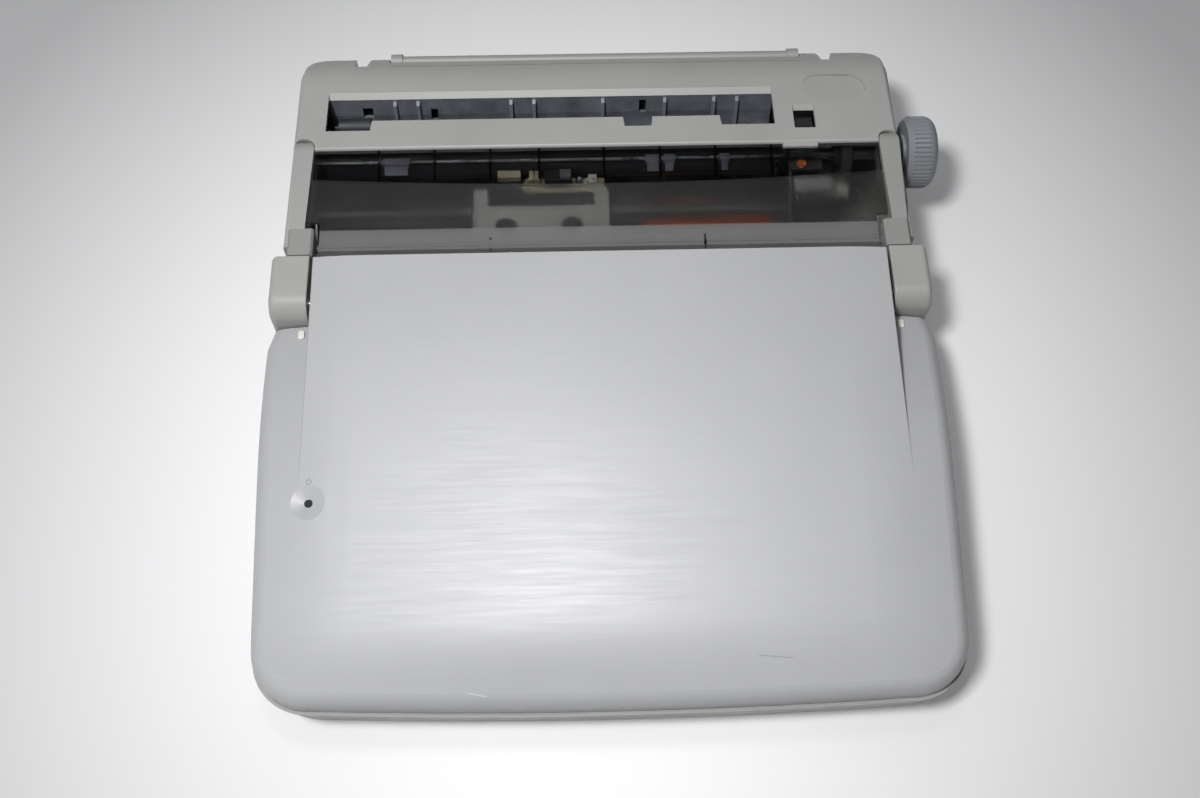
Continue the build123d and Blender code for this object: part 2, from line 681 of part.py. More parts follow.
# side covers: the block behind each hinge and the rounded rail beside the printer cover
with BuildPart() as side_cover_right:
    with BuildSketch(Plane.XY.offset(50)) as rail_plan:
        with BuildLine():
            Polyline((165.6, 100), (165.4, 108), (161.8, 151), (161.8, 153))
            ThreePointArc((161.8, 153), (167.5, 158.6), (173.2, 153))
            Polyline((173.2, 153), (174.2, 100), (165.6, 100))
        make_face()
    extrude(amount=40)
    with BuildSketch(Plane.YZ) as rail_side:
        with BuildLine():
            rise = Line((99, 65.6), (152, 77.6))
            Spline((152, 77.6), (156.5, 77.4), (159.2, 74.0), tangents=(rise % 1, (0.2, -1)))
            Polyline((159.2, 74.0), (159.2, 61.6), (145, 61.6), (128, 54), (99, 54), rise @ 0)
        make_face()
    extrude(amount=200, mode=Mode.INTERSECT)
    with BuildSketch(Plane.XY.offset(54)) as block_plan:
        with Locations((167.3, 95.9)):
            Rectangle(14.2, 17.4)
    extrude(amount=14.0)
    chamfer(side_cover_right.edges().filter_by(Axis.Y).filter_by(lambda e: e.center().Z > 67.9), 1.2)
    # tongue that stands on the case's shelf
    with Locations((172.4, 110, 45)):
        Box(3.6, 40, 20)
    with Locations((166, COVER_PIVOT_Y, COVER_PIVOT_Z)):
        Cylinder(2.5 + RUN_FIT, 8, rotation=(0, 90, 0), align=(Align.CENTER, Align.CENTER, Align.MAX),
                 mode=Mode.SUBTRACT)
side_cover_right.part.label = "side_cover_right"

with BuildPart() as side_cover_left:
    mirror(side_cover_right.part, about=Plane.YZ)
side_cover_left.part.label = "side_cover_left"

# ================================================================ printer top case
with BuildPart() as top_cavity:
    with BuildSketch(Plane.XY.offset(40)) as inner_plan:
        with Locations((0, (BEZEL_FRONT_Y + REAR_Y) / 2)):
            Rectangle(2 * (BEZEL_HALF - 2.4), REAR_Y - BEZEL_FRONT_Y - 4.8)
        fillet(inner_plan.vertices().group_by(Axis.Y)[-1], 15)
    extrude(amount=60)
    add(bezel_curve(2.4))
    extrude(amount=400, dir=(1, 0, 0), mode=Mode.INTERSECT)
    # solid round the two notches in the rear edge
    with Locations((-NOTCH_X, REAR_Y, 65), (NOTCH_X, REAR_Y, 65)):
        Box(14.2, 31.2, 60, mode=Mode.SUBTRACT)

with BuildPart() as printer_top:
    with BuildSketch(Plane.XY.offset(58.4)) as top_plan:
        with Locations((0, (BEZEL_FRONT_Y + REAR_Y) / 2)):
            Rectangle(2 * BEZEL_HALF, REAR_Y - BEZEL_FRONT_Y)
        fillet(top_plan.vertices().group_by(Axis.Y)[-1], 17)
    extrude(amount=40)
    add(bezel_curve())
    extrude(amount=400, dir=(1, 0, 0), mode=Mode.INTERSECT)
    crown = printer_top.edges().filter_by(
        lambda e: e.center().Z > 62 and abs(e.center().X) > 150 and e.center().Y > BEZEL_FRONT_Y + 2
    )
    fillet(crown, 2.4)
    front_lip = printer_top.edges().filter_by(
        lambda e: abs(e.center().Y - BEZEL_FRONT_Y) < 0.01 and abs(e.center().X) < 1 and e.center().Z > 70
    )
    fillet(front_lip, 1.5)
    add(top_cavity.part, mode=Mode.SUBTRACT)
    # the front keeps only a shallow lip over the printer
    with Locations((0, 152.4, 60)):
        Box(2 * (BEZEL_HALF - 2.4), 3.2, 27.6, mode=Mode.SUBTRACT)
    # relief over the platen shaft
    with Locations((0, PLATEN_Y, PLATEN_Z)):
        Cylinder(PLATEN_SHAFT_R + 0.8, 400, rotation=(0, 90, 0), mode=Mode.SUBTRACT)
    # room for the rounded ends of the two rails
    with BuildSketch(Plane.XY.offset(50)) as rail_ends:
        for side in (-1, 1):
            with Locations((side * 167.5, 150)):
                Rectangle(12.4, 6.0)
            with Locations((side * 167.5, 153)):
                Circle(6.2)
            with Locations((side * 171, 150)):
                Rectangle(8, 8)
    extrude(amount=40, mode=Mode.SUBTRACT)
    # stepped paper slot
    with BuildSketch(Plane.XY.offset(60)) as slot_plan:
        with BuildLine():
            Polyline(
                (-156.0, 190.0),
                (-156.0, 164.8),
                (-130.6, 164.8),
                (-129.8, 172.2),
                (15.2, 172.2),
                (16.0, 165.2),
                (31.4, 165.2),
                (32.2, 172.2),
                (71.2, 172.2),
                (72.0, 165.2),
                (103.0, 165.2),
                (103.0, 190.0),
                close=True,
            )
        make_face()
    extrude(amount=30, mode=Mode.SUBTRACT)
    with BuildSketch(Plane.YZ.offset(-156.0)) as slot_bevel:
        with BuildLine():
            Polyline((189.0, 73.0), (195.0, 76.6), (195.0, 80.0), (189.0, 80.0), close=True)
        make_face()
    extrude(amount=259.0, mode=Mode.SUBTRACT)
    # window for the paper release lever, with a sloping rear wall
    with BuildSketch(Plane.XY.offset(60)) as lever_window:
        with Locations((120.2, 169.4)):
            RectangleRounded(12.4, 15.0, 1.0)
    extrude(amount=30, mode=Mode.SUBTRACT)
    with BuildSketch(Plane.YZ.offset(114.2)) as lever_bevel:
        with BuildLine():
            Polyline((175.0, 73.2), (180.4, 77.0), (180.4, 82.0), (175.0, 82.0), close=True)
        make_face()
    extrude(amount=12.0, mode=Mode.SUBTRACT)
    # shallow thumb recess beside the slot
    with BuildSketch(Plane(origin=(139.6, 192.6, 75.1), x_dir=(1, 0, 0), z_dir=(0.05, 0.09, 1))) as thumb:
        SlotOverall(37, 20)
    extrude(amount=8, mode=Mode.SUBTRACT)
    # tab over the printer cover's rear edge
    with Locations((116.2, 150.2, 76.6)):
        Box(19.6, 3.4, 2.6)
    # rear edge cut away for the paper support, with its two pivot holes
    with Locations((FLAP_MIDDLE, 230, 60)):
        Box(FLAP_GAP, 14.2, 40, mode=Mode.SUBTRACT)
    with Locations((0, FLAP_Y, FLAP_Z)):
        Cylinder(1.6 + RUN_FIT, 2 * 128.5, rotation=(0, 90, 0), mode=Mode.SUBTRACT)
    # line across the top in front of the paper support
    with Locations((FLAP_MIDDLE, 217.5, 71.4)):
        Box(FLAP_GAP, 0.8, 2.0, mode=Mode.SUBTRACT)
    # notches in the rear edge
    add(notch_plan())
    extrude(amount=40, mode=Mode.SUBTRACT)
printer_top.part.label = "printer_top"

# ================================================================ smoked printer cover
BAR_HALF = 157.6
with BuildPart() as printer_cover:
    with BuildSketch(Plane.YZ) as cover_side:
        with BuildLine():
            Polyline(
                (150.7, 77.4),
                (150.7, 75.2),
                (106.4, 62.4),
                (104.6, 58.2),
                (102.6, 58.2),
                (101.6, 61.2),
                (94.4, 61.2),
                (93.2, 55.0),
                (91.2, 55.0),
                (92.4, 63.0),
                (98.6, 63.6),
                (106.0, 64.6),
                close=True,
            )
        make_face()
    extrude(amount=164.4, both=True)
    # plan outline: wide over the rails' inner sides, narrower between the hinge blocks
    with BuildSketch(Plane.XY.offset(40)) as cover_plan:
        with BuildLine():
            Polyline(
                (-BAR_HALF, 90),
                (BAR_HALF, 90),
                (BAR_HALF, 110.0),
                (164.0, 110.0),
                (160.9, 151),
                (126.8, 151),
                (126.8, 148.2),
                (105.6, 148.2),
                (105.6, 151),
                (-160.9, 151),
                (-164.0, 110.0),
                (-BAR_HALF, 110.0),
                close=True,
            )
        make_face()
    extrude(amount=60, mode=Mode.INTERSECT)
    # ridge along the front bar
    with BuildSketch(Plane.YZ) as ridge:
        with Locations((95.2, 63.0)):
            Circle(1.1)
    extrude(amount=BAR_HALF, both=True)
    # end plates with the pivot pins
    for side in (-1, 1):
        with BuildSketch(Plane.YZ.offset(side * 156.3 - 1.2)) as end_plate:
            with BuildLine():
                Polyline((92.6, 62.6), (92.6, 55.2), (95.0, 53.6), (100.0, 53.6), (106.2, 58.4), (112.0, 64.0),
                         close=True)
            make_face()
        extrude(amount=2.4)
        with Locations((side * 160.6, COVER_PIVOT_Y, COVER_PIVOT_Z)):
            Cylinder(2.5, 9.0, rotation=(0, 90, 0))
    # paper guide ribs under the clear rear strip
    for x in (-124.7, -93.1, -61.4, -33.5, 3.5, 35.5, 67.3, 99.5):
        with BuildSketch(Plane.YZ.offset(x - 0.6)) as guide_rib:
            with BuildLine():
                Polyline((134.5, 71.6), (149.8, 76.0), (149.8, 72.6), (146.0, 70.6), (137.0, 70.2), close=True)
            make_face()
        extrude(amount=1.2)
    # two narrow slots across the front bar
    with Locations((-61.5, 95.0, 60.4), (59.4, 95.0, 60.4)):
        Box(1.4, 9.0, 14.0, mode=Mode.SUBTRACT)
printer_cover.part.label = "printer_cover"

# ================================================================ paper support
with BuildPart() as paper_support:
    with BuildSketch(Plane.YZ.offset(FLAP_LEFT)) as flap_section:
        with Locations((FLAP_Y, FLAP_Z)):
            Circle(FLAP_R)
        with Locations((FLAP_Y + FLAP_R - 1.1, (FLAP_Z + 31.0) / 2)):
            Rectangle(2.2, FLAP_Z - 31.0)
    extrude(amount=FLAP_RIGHT - FLAP_LEFT)
    fillet(paper_support.edges().filter_by(Axis.Y).filter_by(lambda e: e.center().Z < 32), 8.0)
    # ribs behind the panel
    for x in (-90, -45, 0.5, 46, 91):
        with Locations((x, FLAP_Y + 0.9, 46.0)):
            Box(1.6, 1.2, 24.0)
    # raised ends at the pivots, and the pivot pins
    for x in (FLAP_LEFT + 3.4, FLAP_RIGHT - 3.4):
        with Locations((x, FLAP_Y, FLAP_Z)):
            Cylinder(4.8, 6.8, rotation=(0, 90, 0))
    with Locations((0.5, FLAP_Y, FLAP_Z)):
        Cylinder(1.6, FLAP_RIGHT - FLAP_LEFT + 6.0, rotation=(0, 90, 0))
paper_support.part.label = "paper_support"

# ================================================================ printer mechanism
# bent steel frame: floor, two side plates, and a flange that the right-hand screw holds
with BuildPart() as printer_frame:
    with BuildSketch(Plane.XY.offset(FRAME_Z)) as frame_floor:
        with Locations((-26, 148)):
            Rectangle(278.0, 96)
    extrude(amount=FRAME_T)
    for x in (-165.0, 111.5):
        with BuildSketch(Plane.YZ.offset(x)) as side_plate:
            with BuildLine():
                Polyline((101, FRAME_Z), (101, 34), (126, 46), (147, 60.5), (173, 60.5), (188, 50), (194, FRAME_Z),
                         close=True)
            make_face()
            with Locations((PLATEN_Y, PLATEN_Z)):
                Circle(PLATEN_SHAFT_R + RUN_FIT, mode=Mode.SUBTRACT)
            with Locations((GUIDE_Y, GUIDE_Z)):
                Circle(GUIDE_R, mode=Mode.SUBTRACT)
        extrude(amount=FRAME_T)
    # flange that carries the orange screw
    with Locations((121.5, 148.5, 59.75)):
        Box(19.0, 7.0, FRAME_T)
    # bracket and pin of the release lever
    with Locations((121.0, 168.0, 63.0)):
        Cylinder(1.55, 17.0, rotation=(0, 90, 0))
    with Locations((129.0, 168.0, 60.0)):
        Box(2.0, 8.0, 12.0)
    with Locations((120.5, 168.0, 54.75)):
        Box(19.0, 8.0, FRAME_T)
    # pin of the idler pulley
    with Locations((PULLEY_X[0], BELT_Y, FRAME_Z + FRAME_T)):
        Cylinder(PULLEY_PIN_R, 10.6, align=(Align.CENTER, Align.CENTER, Align.MIN))
        Cylinder(4.0, 2.4, align=(Align.CENTER, Align.CENTER, Align.MIN))
    # hole for the carriage motor
    with Locations((PULLEY_X[1], BELT_Y, FRAME_Z)):
        Cylinder(6.0, 6.0, mode=Mode.SUBTRACT)
printer_frame.part.label = "printer_frame"

with BuildPart() as frame_screw:
    with Locations((119.0, 148.5, 60.5)):
        Cylinder(2.6, 1.6, align=(Align.CENTER, Align.CENTER, Align.MIN))
frame_screw.part.label = "frame_screw"

with BuildPart() as platen_shaft:
    with Locations(((-168.0 + 184.0) / 2, PLATEN_Y, PLATEN_Z)):
        Cylinder(PLATEN_SHAFT_R, 352.0, rotation=(0, 90, 0))
platen_shaft.part.label = "platen_shaft"

with BuildPart() as platen_roller:
    with Locations((PAPER_MIDDLE, PLATEN_Y, PLATEN_Z)):
        Cylinder(PLATEN_R, PAPER_RIGHT - PAPER_LEFT, rotation=(0, 90, 0))
        Cylinder(PLATEN_SHAFT_R, 400, rotation=(0, 90, 0), mode=Mode.SUBTRACT)
platen_roller.part.label = "platen_roller"

# hand knob: revolved body with a rounded outer rim and fine grip grooves
KNOB_R = 21.0
KNOB_GROOVES = 48
with BuildPart() as platen_knob:
    with BuildSketch(Plane((0, PLATEN_Y, PLATEN_Z))) as knob_half:
        with BuildLine():
            Polyline((178.6, 3.5), (178.6, 11.0), (180.2, 11.0), (180.2, 18.6), (182.8, KNOB_R), (191.5, KNOB_R))
            ThreePointArc((191.5, KNOB_R), (196.2, 19.0), (198.0, 14.5))
            Polyline((198.0, 14.5), (197.2, 13.6), (197.2, 0.0), (184.0, 0.0), (184.0, 3.5), (178.6, 3.5))
        make_face()
    revolve(axis=Axis((0, PLATEN_Y, PLATEN_Z), (1, 0, 0)))
    with BuildSketch(Plane((183.2, PLATEN_Y, PLATEN_Z), x_dir=(0, 1, 0), z_dir=(1, 0, 0))) as grooves:
        with PolarLocations(KNOB_R, KNOB_GROOVES):
            Polygon((-0.75, 0.0), (0.4, -0.85), (0.4, 0.85), align=None)
    extrude(amount=15.0, dir=(1, 0, 0), mode=Mode.SUBTRACT)
platen_knob.part.label = "platen_knob"

with BuildPart() as platen_gear:
    add(gear_blank(TEETH_PLATEN, (PLATEN_Y, PLATEN_Z), 142.0, 6.0, PINION_ANGLE))
    extrude(amount=6.0, dir=(1, 0, 0))
    with Locations((145.0, PLATEN_Y, PLATEN_Z)):
        Cylinder(6.5, 11.0, rotation=(0, 90, 0))
        Cylinder(PLATEN_SHAFT_R, 40, rotation=(0, 90, 0), mode=Mode.SUBTRACT)
platen_gear.part.label = "platen_gear"

MOTOR_SHAFT_R = 1.5
with BuildPart() as motor_pinion:
    add(gear_blank(TEETH_PINION, (PINION_Y, PINION_Z), 141.6, 7.0, PINION_ANGLE + 180 + 180 / TEETH_PINION))
    extrude(amount=7.0, dir=(1, 0, 0))
    # the motor's shaft, which turns with it
    with Locations((140.0, PINION_Y, PINION_Z)):
        Cylinder(MOTOR_SHAFT_R, 20.0, rotation=(0, 90, 0))
motor_pinion.part.label = "motor_pinion"

with BuildPart() as feed_motor:
    with Locations((126.0, PINION_Y, PINION_Z)):
        Cylinder(17.0, 22.0, rotation=(0, 90, 0))
    with Locations((137.5, PINION_Y, PINION_Z)):
        Cylinder(5.0, 1.6, rotation=(0, 90, 0))
    with Locations((129.8, PINION_Y, PINION_Z)):
        Cylinder(MOTOR_SHAFT_R + RUN_FIT, 20.0, rotation=(0, 90, 0), mode=Mode.SUBTRACT)
feed_motor.part.label = "feed_motor"

# paper chute: a curved guide with ribs behind the platen, cut for the pinch rollers
CHUTE_R = 30.0
CHUTE_T = 2.0
CHUTE_Y = 158.0
CHUTE_Z = 62.4  # centre line of the chute's bend
with BuildPart() as paper_chute:
    with BuildSketch(Plane.YZ.offset(PAPER_LEFT)) as chute_section:
        with BuildLine():
            inner = CenterArc((CHUTE_Y, CHUTE_Z), CHUTE_R, -90, 90)
            outer = CenterArc((CHUTE_Y, CHUTE_Z), CHUTE_R + CHUTE_T, -90, 90)
            Polyline(inner @ 1, (190.6, 73.0), (192.6, 73.0), outer @ 1)
            Line(inner @ 0, outer @ 0)
        make_face()
    extrude(amount=PAPER_RIGHT - PAPER_LEFT)
    for x in (-118.0, -104.5, -50.0, -36.5, 4.0, 40.5, 69.5, 83.0):
        with BuildSketch(Plane.YZ.offset(x - 0.9)) as chute_rib:
            with BuildLine():
                Polyline((190.8, 72.0), (187.6, 71.0), (185.4, 60.0), (184.0, 52.0), (187.2, 53.0), (188.6, 58.0),
                         close=True)
            make_face()
        extrude(amount=1.8)
    with Locations((-95.5, 189, 62), (27.5, 190, 66)):
        Box(4.0, 12, 9, mode=Mode.SUBTRACT)
    with Locations((-134.5, 189, 64)):
        Box(6.0, 12, 7, mode=Mode.SUBTRACT)
    # feet down to the frame's floor
    for x in (-140, -26, 88):
        with Locations((x, 163.0, FRAME_Z + FRAME_T)):
            Box(6, 8, 10.5, align=(Align.CENTER, Align.CENTER, Align.MIN))
paper_chute.part.label = "paper_chute"

# pinch rollers pressing the paper on the platen from below
PINCH_R = 5.0
PINCH_Y = PLATEN_Y + (PLATEN_R + PINCH_R + 0.3) * math.cos(math.radians(-75))
PINCH_Z = PLATEN_Z + (PLATEN_R + PINCH_R + 0.3) * math.sin(math.radians(-75))
with BuildPart() as pinch_rollers:
    with Locations((-26.0, PINCH_Y, PINCH_Z)):
        Cylinder(1.5, 270.0, rotation=(0, 90, 0))
    for x in (-130, -65, 0, 70):
        with Locations((x, PINCH_Y, PINCH_Z)):
            Cylinder(PINCH_R, 22.0, rotation=(0, 90, 0))
pinch_rollers.part.label = "pinch_rollers"

# grey roller at the left end of the slot
with BuildPart() as paper_roller:
    with Locations((-142.0, 180.5, 60.5)):
        Cylinder(5.4, 18.5, rotation=(0, 90, 0))
        Cylinder(1.6, 24.0, rotation=(0, 90, 0))
paper_roller.part.label = "paper_roller"

# paper release lever: ridged thumb piece above a pivot
with BuildPart() as release_lever:
    with BuildSketch(Plane.YZ.offset(115.2)) as lever_side:
        with Locations((168.0, 63.0)):
            Circle(4.0)
        with BuildLine():
            Polyline((164.4, 62.0), (164.0, 72.6), (165.6, 74.4), (173.4, 72.4), (172.4, 68.0), (171.6, 62.0),
                     close=True)
        make_face()
        with Locations((168.0, 63.0)):
            Circle(1.6, mode=Mode.SUBTRACT)
    extrude(amount=10.0)
release_lever.part.label = "release_lever"

# guide shaft and the carriage on it
with BuildPart() as guide_shaft:
    with Locations((-26.0, GUIDE_Y, GUIDE_Z)):
        Cylinder(GUIDE_R, 277.4, rotation=(0, 90, 0))
guide_shaft.part.label = "guide_shaft"

with BuildPart() as carriage:
    with BuildSketch(Plane.YZ.offset(-70.0)) as carriage_section:
        with BuildLine():
            Polyline(
                (101.0, 45.6),
                (101.0, 42.0),
                (120.0, 38.0),
                (124.0, 32.6),
                (140.0, 32.6),
                (144.0, 38.0),
                (144.0, 45.6),
                close=True,
            )
        make_face()
        with Locations((GUIDE_Y, GUIDE_Z)):
            Circle(GUIDE_R + RUN_FIT, mode=Mode.SUBTRACT)
    extrude(amount=74.0)
    with Locations((-51.5, 138.0, 52.0)):
        Box(15.0, 6.0, 14.0)
    # fork that grips the front run of the drive belt
    with Locations((-33.0, 106.2, 35.0)):
        Box(16.0, 5.0, 18.6)
    with Locations((-33.0, BELT_Y - BELT_R - 0.75, 28.1)):
        Box(16.0, 1.7, 5.0, mode=Mode.SUBTRACT)
carriage.part.label = "carriage"

with BuildPart() as print_head:
    with BuildSketch(Plane.YZ.offset(-58.0)) as head_section:
        with BuildLine():
            Polyline((141.2, 46.0), (141.2, 62.6), (146.0, 62.6), (148.4, 58.0), (148.4, 50.0), (146.0, 46.0),
                     close=True)
        make_face()
    extrude(amount=13.0)
print_head.part.label = "print_head"

# ribbon cassette: a flat case with a nose at each side of the head and two hub holes
HUB_X = (-53.0, -15.5)
HUB_Y = 112.0
with BuildPart() as ribbon_cassette:
    with BuildSketch(Plane.XY.offset(45.8)) as cassette_plan:
        with Locations((-33.0, 112.0)):
            RectangleRounded(78.0, 28.0, 5.0)
        with Locations((-68.0, 128.0), (2.0, 128.0)):
            RectangleRounded(8.0, 20.0, 2.0)
        with Locations((HUB_X[0], HUB_Y), (HUB_X[1], HUB_Y)):
            Circle(6.4, mode=Mode.SUBTRACT)
    extrude(amount=9.6)
ribbon_cassette.part.label = "ribbon_cassette"


def ribbon_hub(x):
    """A toothed hub that turns in the cassette."""
    with BuildPart() as hub:
        with BuildSketch(Plane.XY.offset(46.0)) as hub_plan:
            with Locations((x, HUB_Y)):
                Circle(6.1)
                with PolarLocations(3.4, 6):
                    Rectangle(2.6, 1.4, mode=Mode.SUBTRACT)
        extrude(amount=9.0)
    return hub.part


with BuildPart() as supply_hub:
    add(ribbon_hub(HUB_X[0]))
supply_hub.part.label = "supply_hub"

with BuildPart() as takeup_hub:
    add(ribbon_hub(HUB_X[1]))
takeup_hub.part.label = "takeup_hub"

# orange flat cable of the head, the part that lies on the frame
with BuildPart() as head_cable:
    with BuildSketch(Plane.YZ.offset(30.0)) as cable_section:
        with Locations((136.0, 21.9)):
            Rectangle(18.0, 0.5)
    extrude(amount=76.0)
    with BuildSketch(Plane.XZ.offset(-127.0)) as cable_fold:
        with BuildLine():
            ThreePointArc((30.0, 22.1), (26.6, 25.6), (30.0, 29.1))
            Line((30.0, 29.1), (70.0, 29.6))
            Line((70.0, 29.6), (70.0, 29.1))
            Line((70.0, 29.1), (30.0, 28.6))
            ThreePointArc((30.0, 28.6), (27.1, 25.6), (30.0, 22.6))
            Line((30.0, 22.6), (30.0, 22.1))
        make_face()
    extrude(amount=-18.0)
head_cable.part.label = "head_cable"

# belt drive of the carriage: two pulleys on upright pins and the belt round them
with BuildPart() as drive_belt:
    with BuildSketch(Plane.XY.offset(26.0)) as belt_plan:
        with Locations(((PULLEY_X[0] + PULLEY_X[1]) / 2, BELT_Y)):
            SlotCenterToCenter(PULLEY_X[1] - PULLEY_X[0], 2 * (BELT_R + 1.2))
            SlotCenterToCenter(PULLEY_X[1] - PULLEY_X[0], 2 * (BELT_R + 0.3), mode=Mode.SUBTRACT)
    extrude(amount=4.0)
drive_belt.part.label = "drive_belt"


def pulley(x):
    """A flanged belt pulley on an upright pin."""
    with BuildPart() as wheel:
        with BuildSketch(Plane.XZ) as half:
            with BuildLine():
                Polyline((PULLEY_PIN_R + RUN_FIT, 24.4), (6.2, 24.4), (6.2, 25.4), (BELT_R, 25.4), (BELT_R, 30.6),
                         (6.2, 30.6), (6.2, 31.4), (PULLEY_PIN_R + RUN_FIT, 31.4), close=True)
            make_face()
        revolve(axis=Axis.Z)
    return wheel.part.moved(Location((x, BELT_Y, 0)))


with BuildPart() as idler_pulley:
    add(pulley(PULLEY_X[0]))
idler_pulley.part.label = "idler_pulley"

with BuildPart() as motor_pulley:
    add(pulley(PULLEY_X[1]))
motor_pulley.part.label = "motor_pulley"

with BuildPart() as carriage_motor:
    with Locations((PULLEY_X[1], BELT_Y, 6.4)):
        Cylinder(11.0, 13.0, align=(Align.CENTER, Align.CENTER, Align.MIN))
    with Locations((PULLEY_X[1], BELT_Y, 19.0)):
        Cylinder(PULLEY_PIN_R, 13.0, align=(Align.CENTER, Align.CENTER, Align.MIN))
carriage_motor.part.label = "carriage_motor"

# ================================================================ electrics
with BuildPart() as main_board:
    with BuildSketch(Plane.XY.offset(9.0)) as board:
        with Locations((-58, -79)):
            Rectangle(172, 106)
    extrude(amount=1.6)
    with BuildSketch(Plane.XY.offset(10.6)) as chips:
        with Locations((-120, -60), (-88, -60), (-56, -60), (-24, -60), (-110, -100), (-60, -100)):
            Rectangle(24, 12)
        with Locations((0, -100)):
            Rectangle(20, 20)
    extrude(amount=3.2)
main_board.part.label = "main_board"

with BuildPart() as power_supply:
    with Locations((-100, 210, 8.0)):
        Box(84, 24, 34, align=(Align.CENTER, Align.CENTER, Align.MIN))
    with Locations((-100, 210, 42.0)):
        with GridLocations(10, 1, 7, 1):
            Box(4, 16, 1.6, mode=Mode.SUBTRACT)
power_supply.part.label = "power_supply"

# two-pin mains inlet in the rear wall
with BuildPart() as mains_inlet:
    with Locations((-154, 219.4, 25)):
        Box(22.8, 23.2, 14.8)
    with BuildSketch(Plane.XZ.offset(-231.0)) as socket:
        with Locations((-154, 25)):
            SlotOverall(16.0, 9.0)
    extrude(amount=12.0, mode=Mode.SUBTRACT)
    for x in (-158.0, -150.0):
        with Locations((x, 223.0, 25)):
            Cylinder(1.2, 14.0, rotation=(90, 0, 0))
mains_inlet.part.label = "mains_inlet"

# rocker power switch in the left wall
with BuildPart() as power_switch:
    with BuildSketch(Plane.XY.offset(42.4)) as rocker_plan:
        with BuildLine():
            Polyline((-178.6, 196.2), (-176.4, 203.0), (-177.4, 209.6), (-173.6, 208.4), (-172.6, 203.0),
                     (-173.8, 197.2), close=True)
        make_face()
    extrude(amount=9.2)
    with Locations((-174.5, 203.0, 47.0)):
        Cylinder(2.4, 9.2)
power_switch.part.label = "power_switch"

# slim floppy drive behind the right wall
DRIVE_Y = -19.0
DISK_SLOT_Z = 17.4
DISK_SLOT_H = 5.4
with BuildPart() as floppy_drive:
    with Locations((112.0, DRIVE_Y, 14.6)):
        Box(136.0, 101.6, 16.0)
    with BuildSketch(Plane.YZ.offset(181.0)) as drive_mouth:
        with Locations((DRIVE_Y, DISK_SLOT_Z)):
            Rectangle(92.0, DISK_SLOT_H)
    extrude(amount=-90.0, mode=Mode.SUBTRACT)
    with Locations((177.0, -58.0, 10.6)):
        Box(8.0, 14.6, 5.6, mode=Mode.SUBTRACT)
floppy_drive.part.label = "floppy_drive"

with BuildPart() as drive_door:
    with Locations((179.0, DRIVE_Y, DISK_SLOT_Z)):
        Box(1.2, 91.0, DISK_SLOT_H - 0.8)
    with Locations((179.0, DRIVE_Y, DISK_SLOT_Z + 1.8)):
        Cylinder(0.6, 92.0, rotation=(90, 0, 0))
drive_door.part.label = "drive_door"

with BuildPart() as eject_button:
    with Locations((179.0, -58.0, 10.6)):
        Box(7.0, 13.8, 4.8)
    fillet(eject_button.edges().filter_by(Axis.Z).filter_by(lambda e: e.center().X > 180), 1.0)
eject_button.part.label = "eject_button"

# lid release buttons in the side walls
with BuildPart() as release_button_right:
    with Locations((177.4, -100, 27)):
        Box(7.4, 24.0, 8.0)
    fillet(release_button_right.edges().filter_by(lambda e: e.center().X > 181.0), 1.2)
    with Locations((173.4, -100, 27)):
        Box(0.8, 28.0, 8.0)
release_button_right.part.label = "release_button_right"

with BuildPart() as release_button_left:
    mirror(release_button_right.part, about=Plane.YZ)
release_button_left.part.label = "release_button_left"

# ================================================================ write the pieces
PIECES = [
    lower_case, rubber_feet, case_screws, keyboard_deck, key_plate, number_keys, letter_keys, home_keys,
    shift_keys, bottom_keys, space_bar, function_keys, lid_shell, lamp_lens, lid_bumpers,
    screen_bezel, screen_window, lcd_panel, contrast_slider, hinge_pins, hinge_brackets, hinge_cover_right,
    hinge_cover_left, side_cover_right, side_cover_left, printer_top, printer_cover, paper_support,
    printer_frame, frame_screw, platen_shaft, platen_roller, platen_knob, platen_gear, motor_pinion,
    feed_motor, paper_chute, pinch_rollers, paper_roller, release_lever, guide_shaft, carriage,
    print_head, ribbon_cassette, supply_hub, takeup_hub, head_cable, drive_belt, idler_pulley, motor_pulley,
    carriage_motor, main_board, power_supply, mains_inlet, power_switch, floppy_drive, drive_door,
    eject_button, release_button_right, release_button_left,
]

os.makedirs("parts", exist_ok=True)
for piece in PIECES:
    name = piece.part.label
    placed = piece.part.moved(TO_BASE)
    placed.label = name
    export_step(placed, f"parts/{name}.step")
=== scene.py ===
import math

import bmesh
import bpy
from mathutils import Matrix, Vector


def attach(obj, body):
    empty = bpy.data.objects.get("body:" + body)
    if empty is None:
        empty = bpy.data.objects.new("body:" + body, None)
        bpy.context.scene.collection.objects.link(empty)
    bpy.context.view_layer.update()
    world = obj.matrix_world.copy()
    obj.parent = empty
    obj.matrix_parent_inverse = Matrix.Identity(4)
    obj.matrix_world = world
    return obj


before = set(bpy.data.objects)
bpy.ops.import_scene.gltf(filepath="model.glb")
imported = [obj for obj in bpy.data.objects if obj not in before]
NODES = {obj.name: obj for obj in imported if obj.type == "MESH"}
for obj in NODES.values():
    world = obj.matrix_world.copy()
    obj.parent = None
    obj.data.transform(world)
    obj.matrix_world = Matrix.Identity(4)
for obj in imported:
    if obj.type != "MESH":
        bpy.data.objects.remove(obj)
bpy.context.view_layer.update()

# The case's middle plane and the line that its sizes are measured from, in the row frame (metres).
CASE_X = -0.005826
CASE_Y = -0.0339

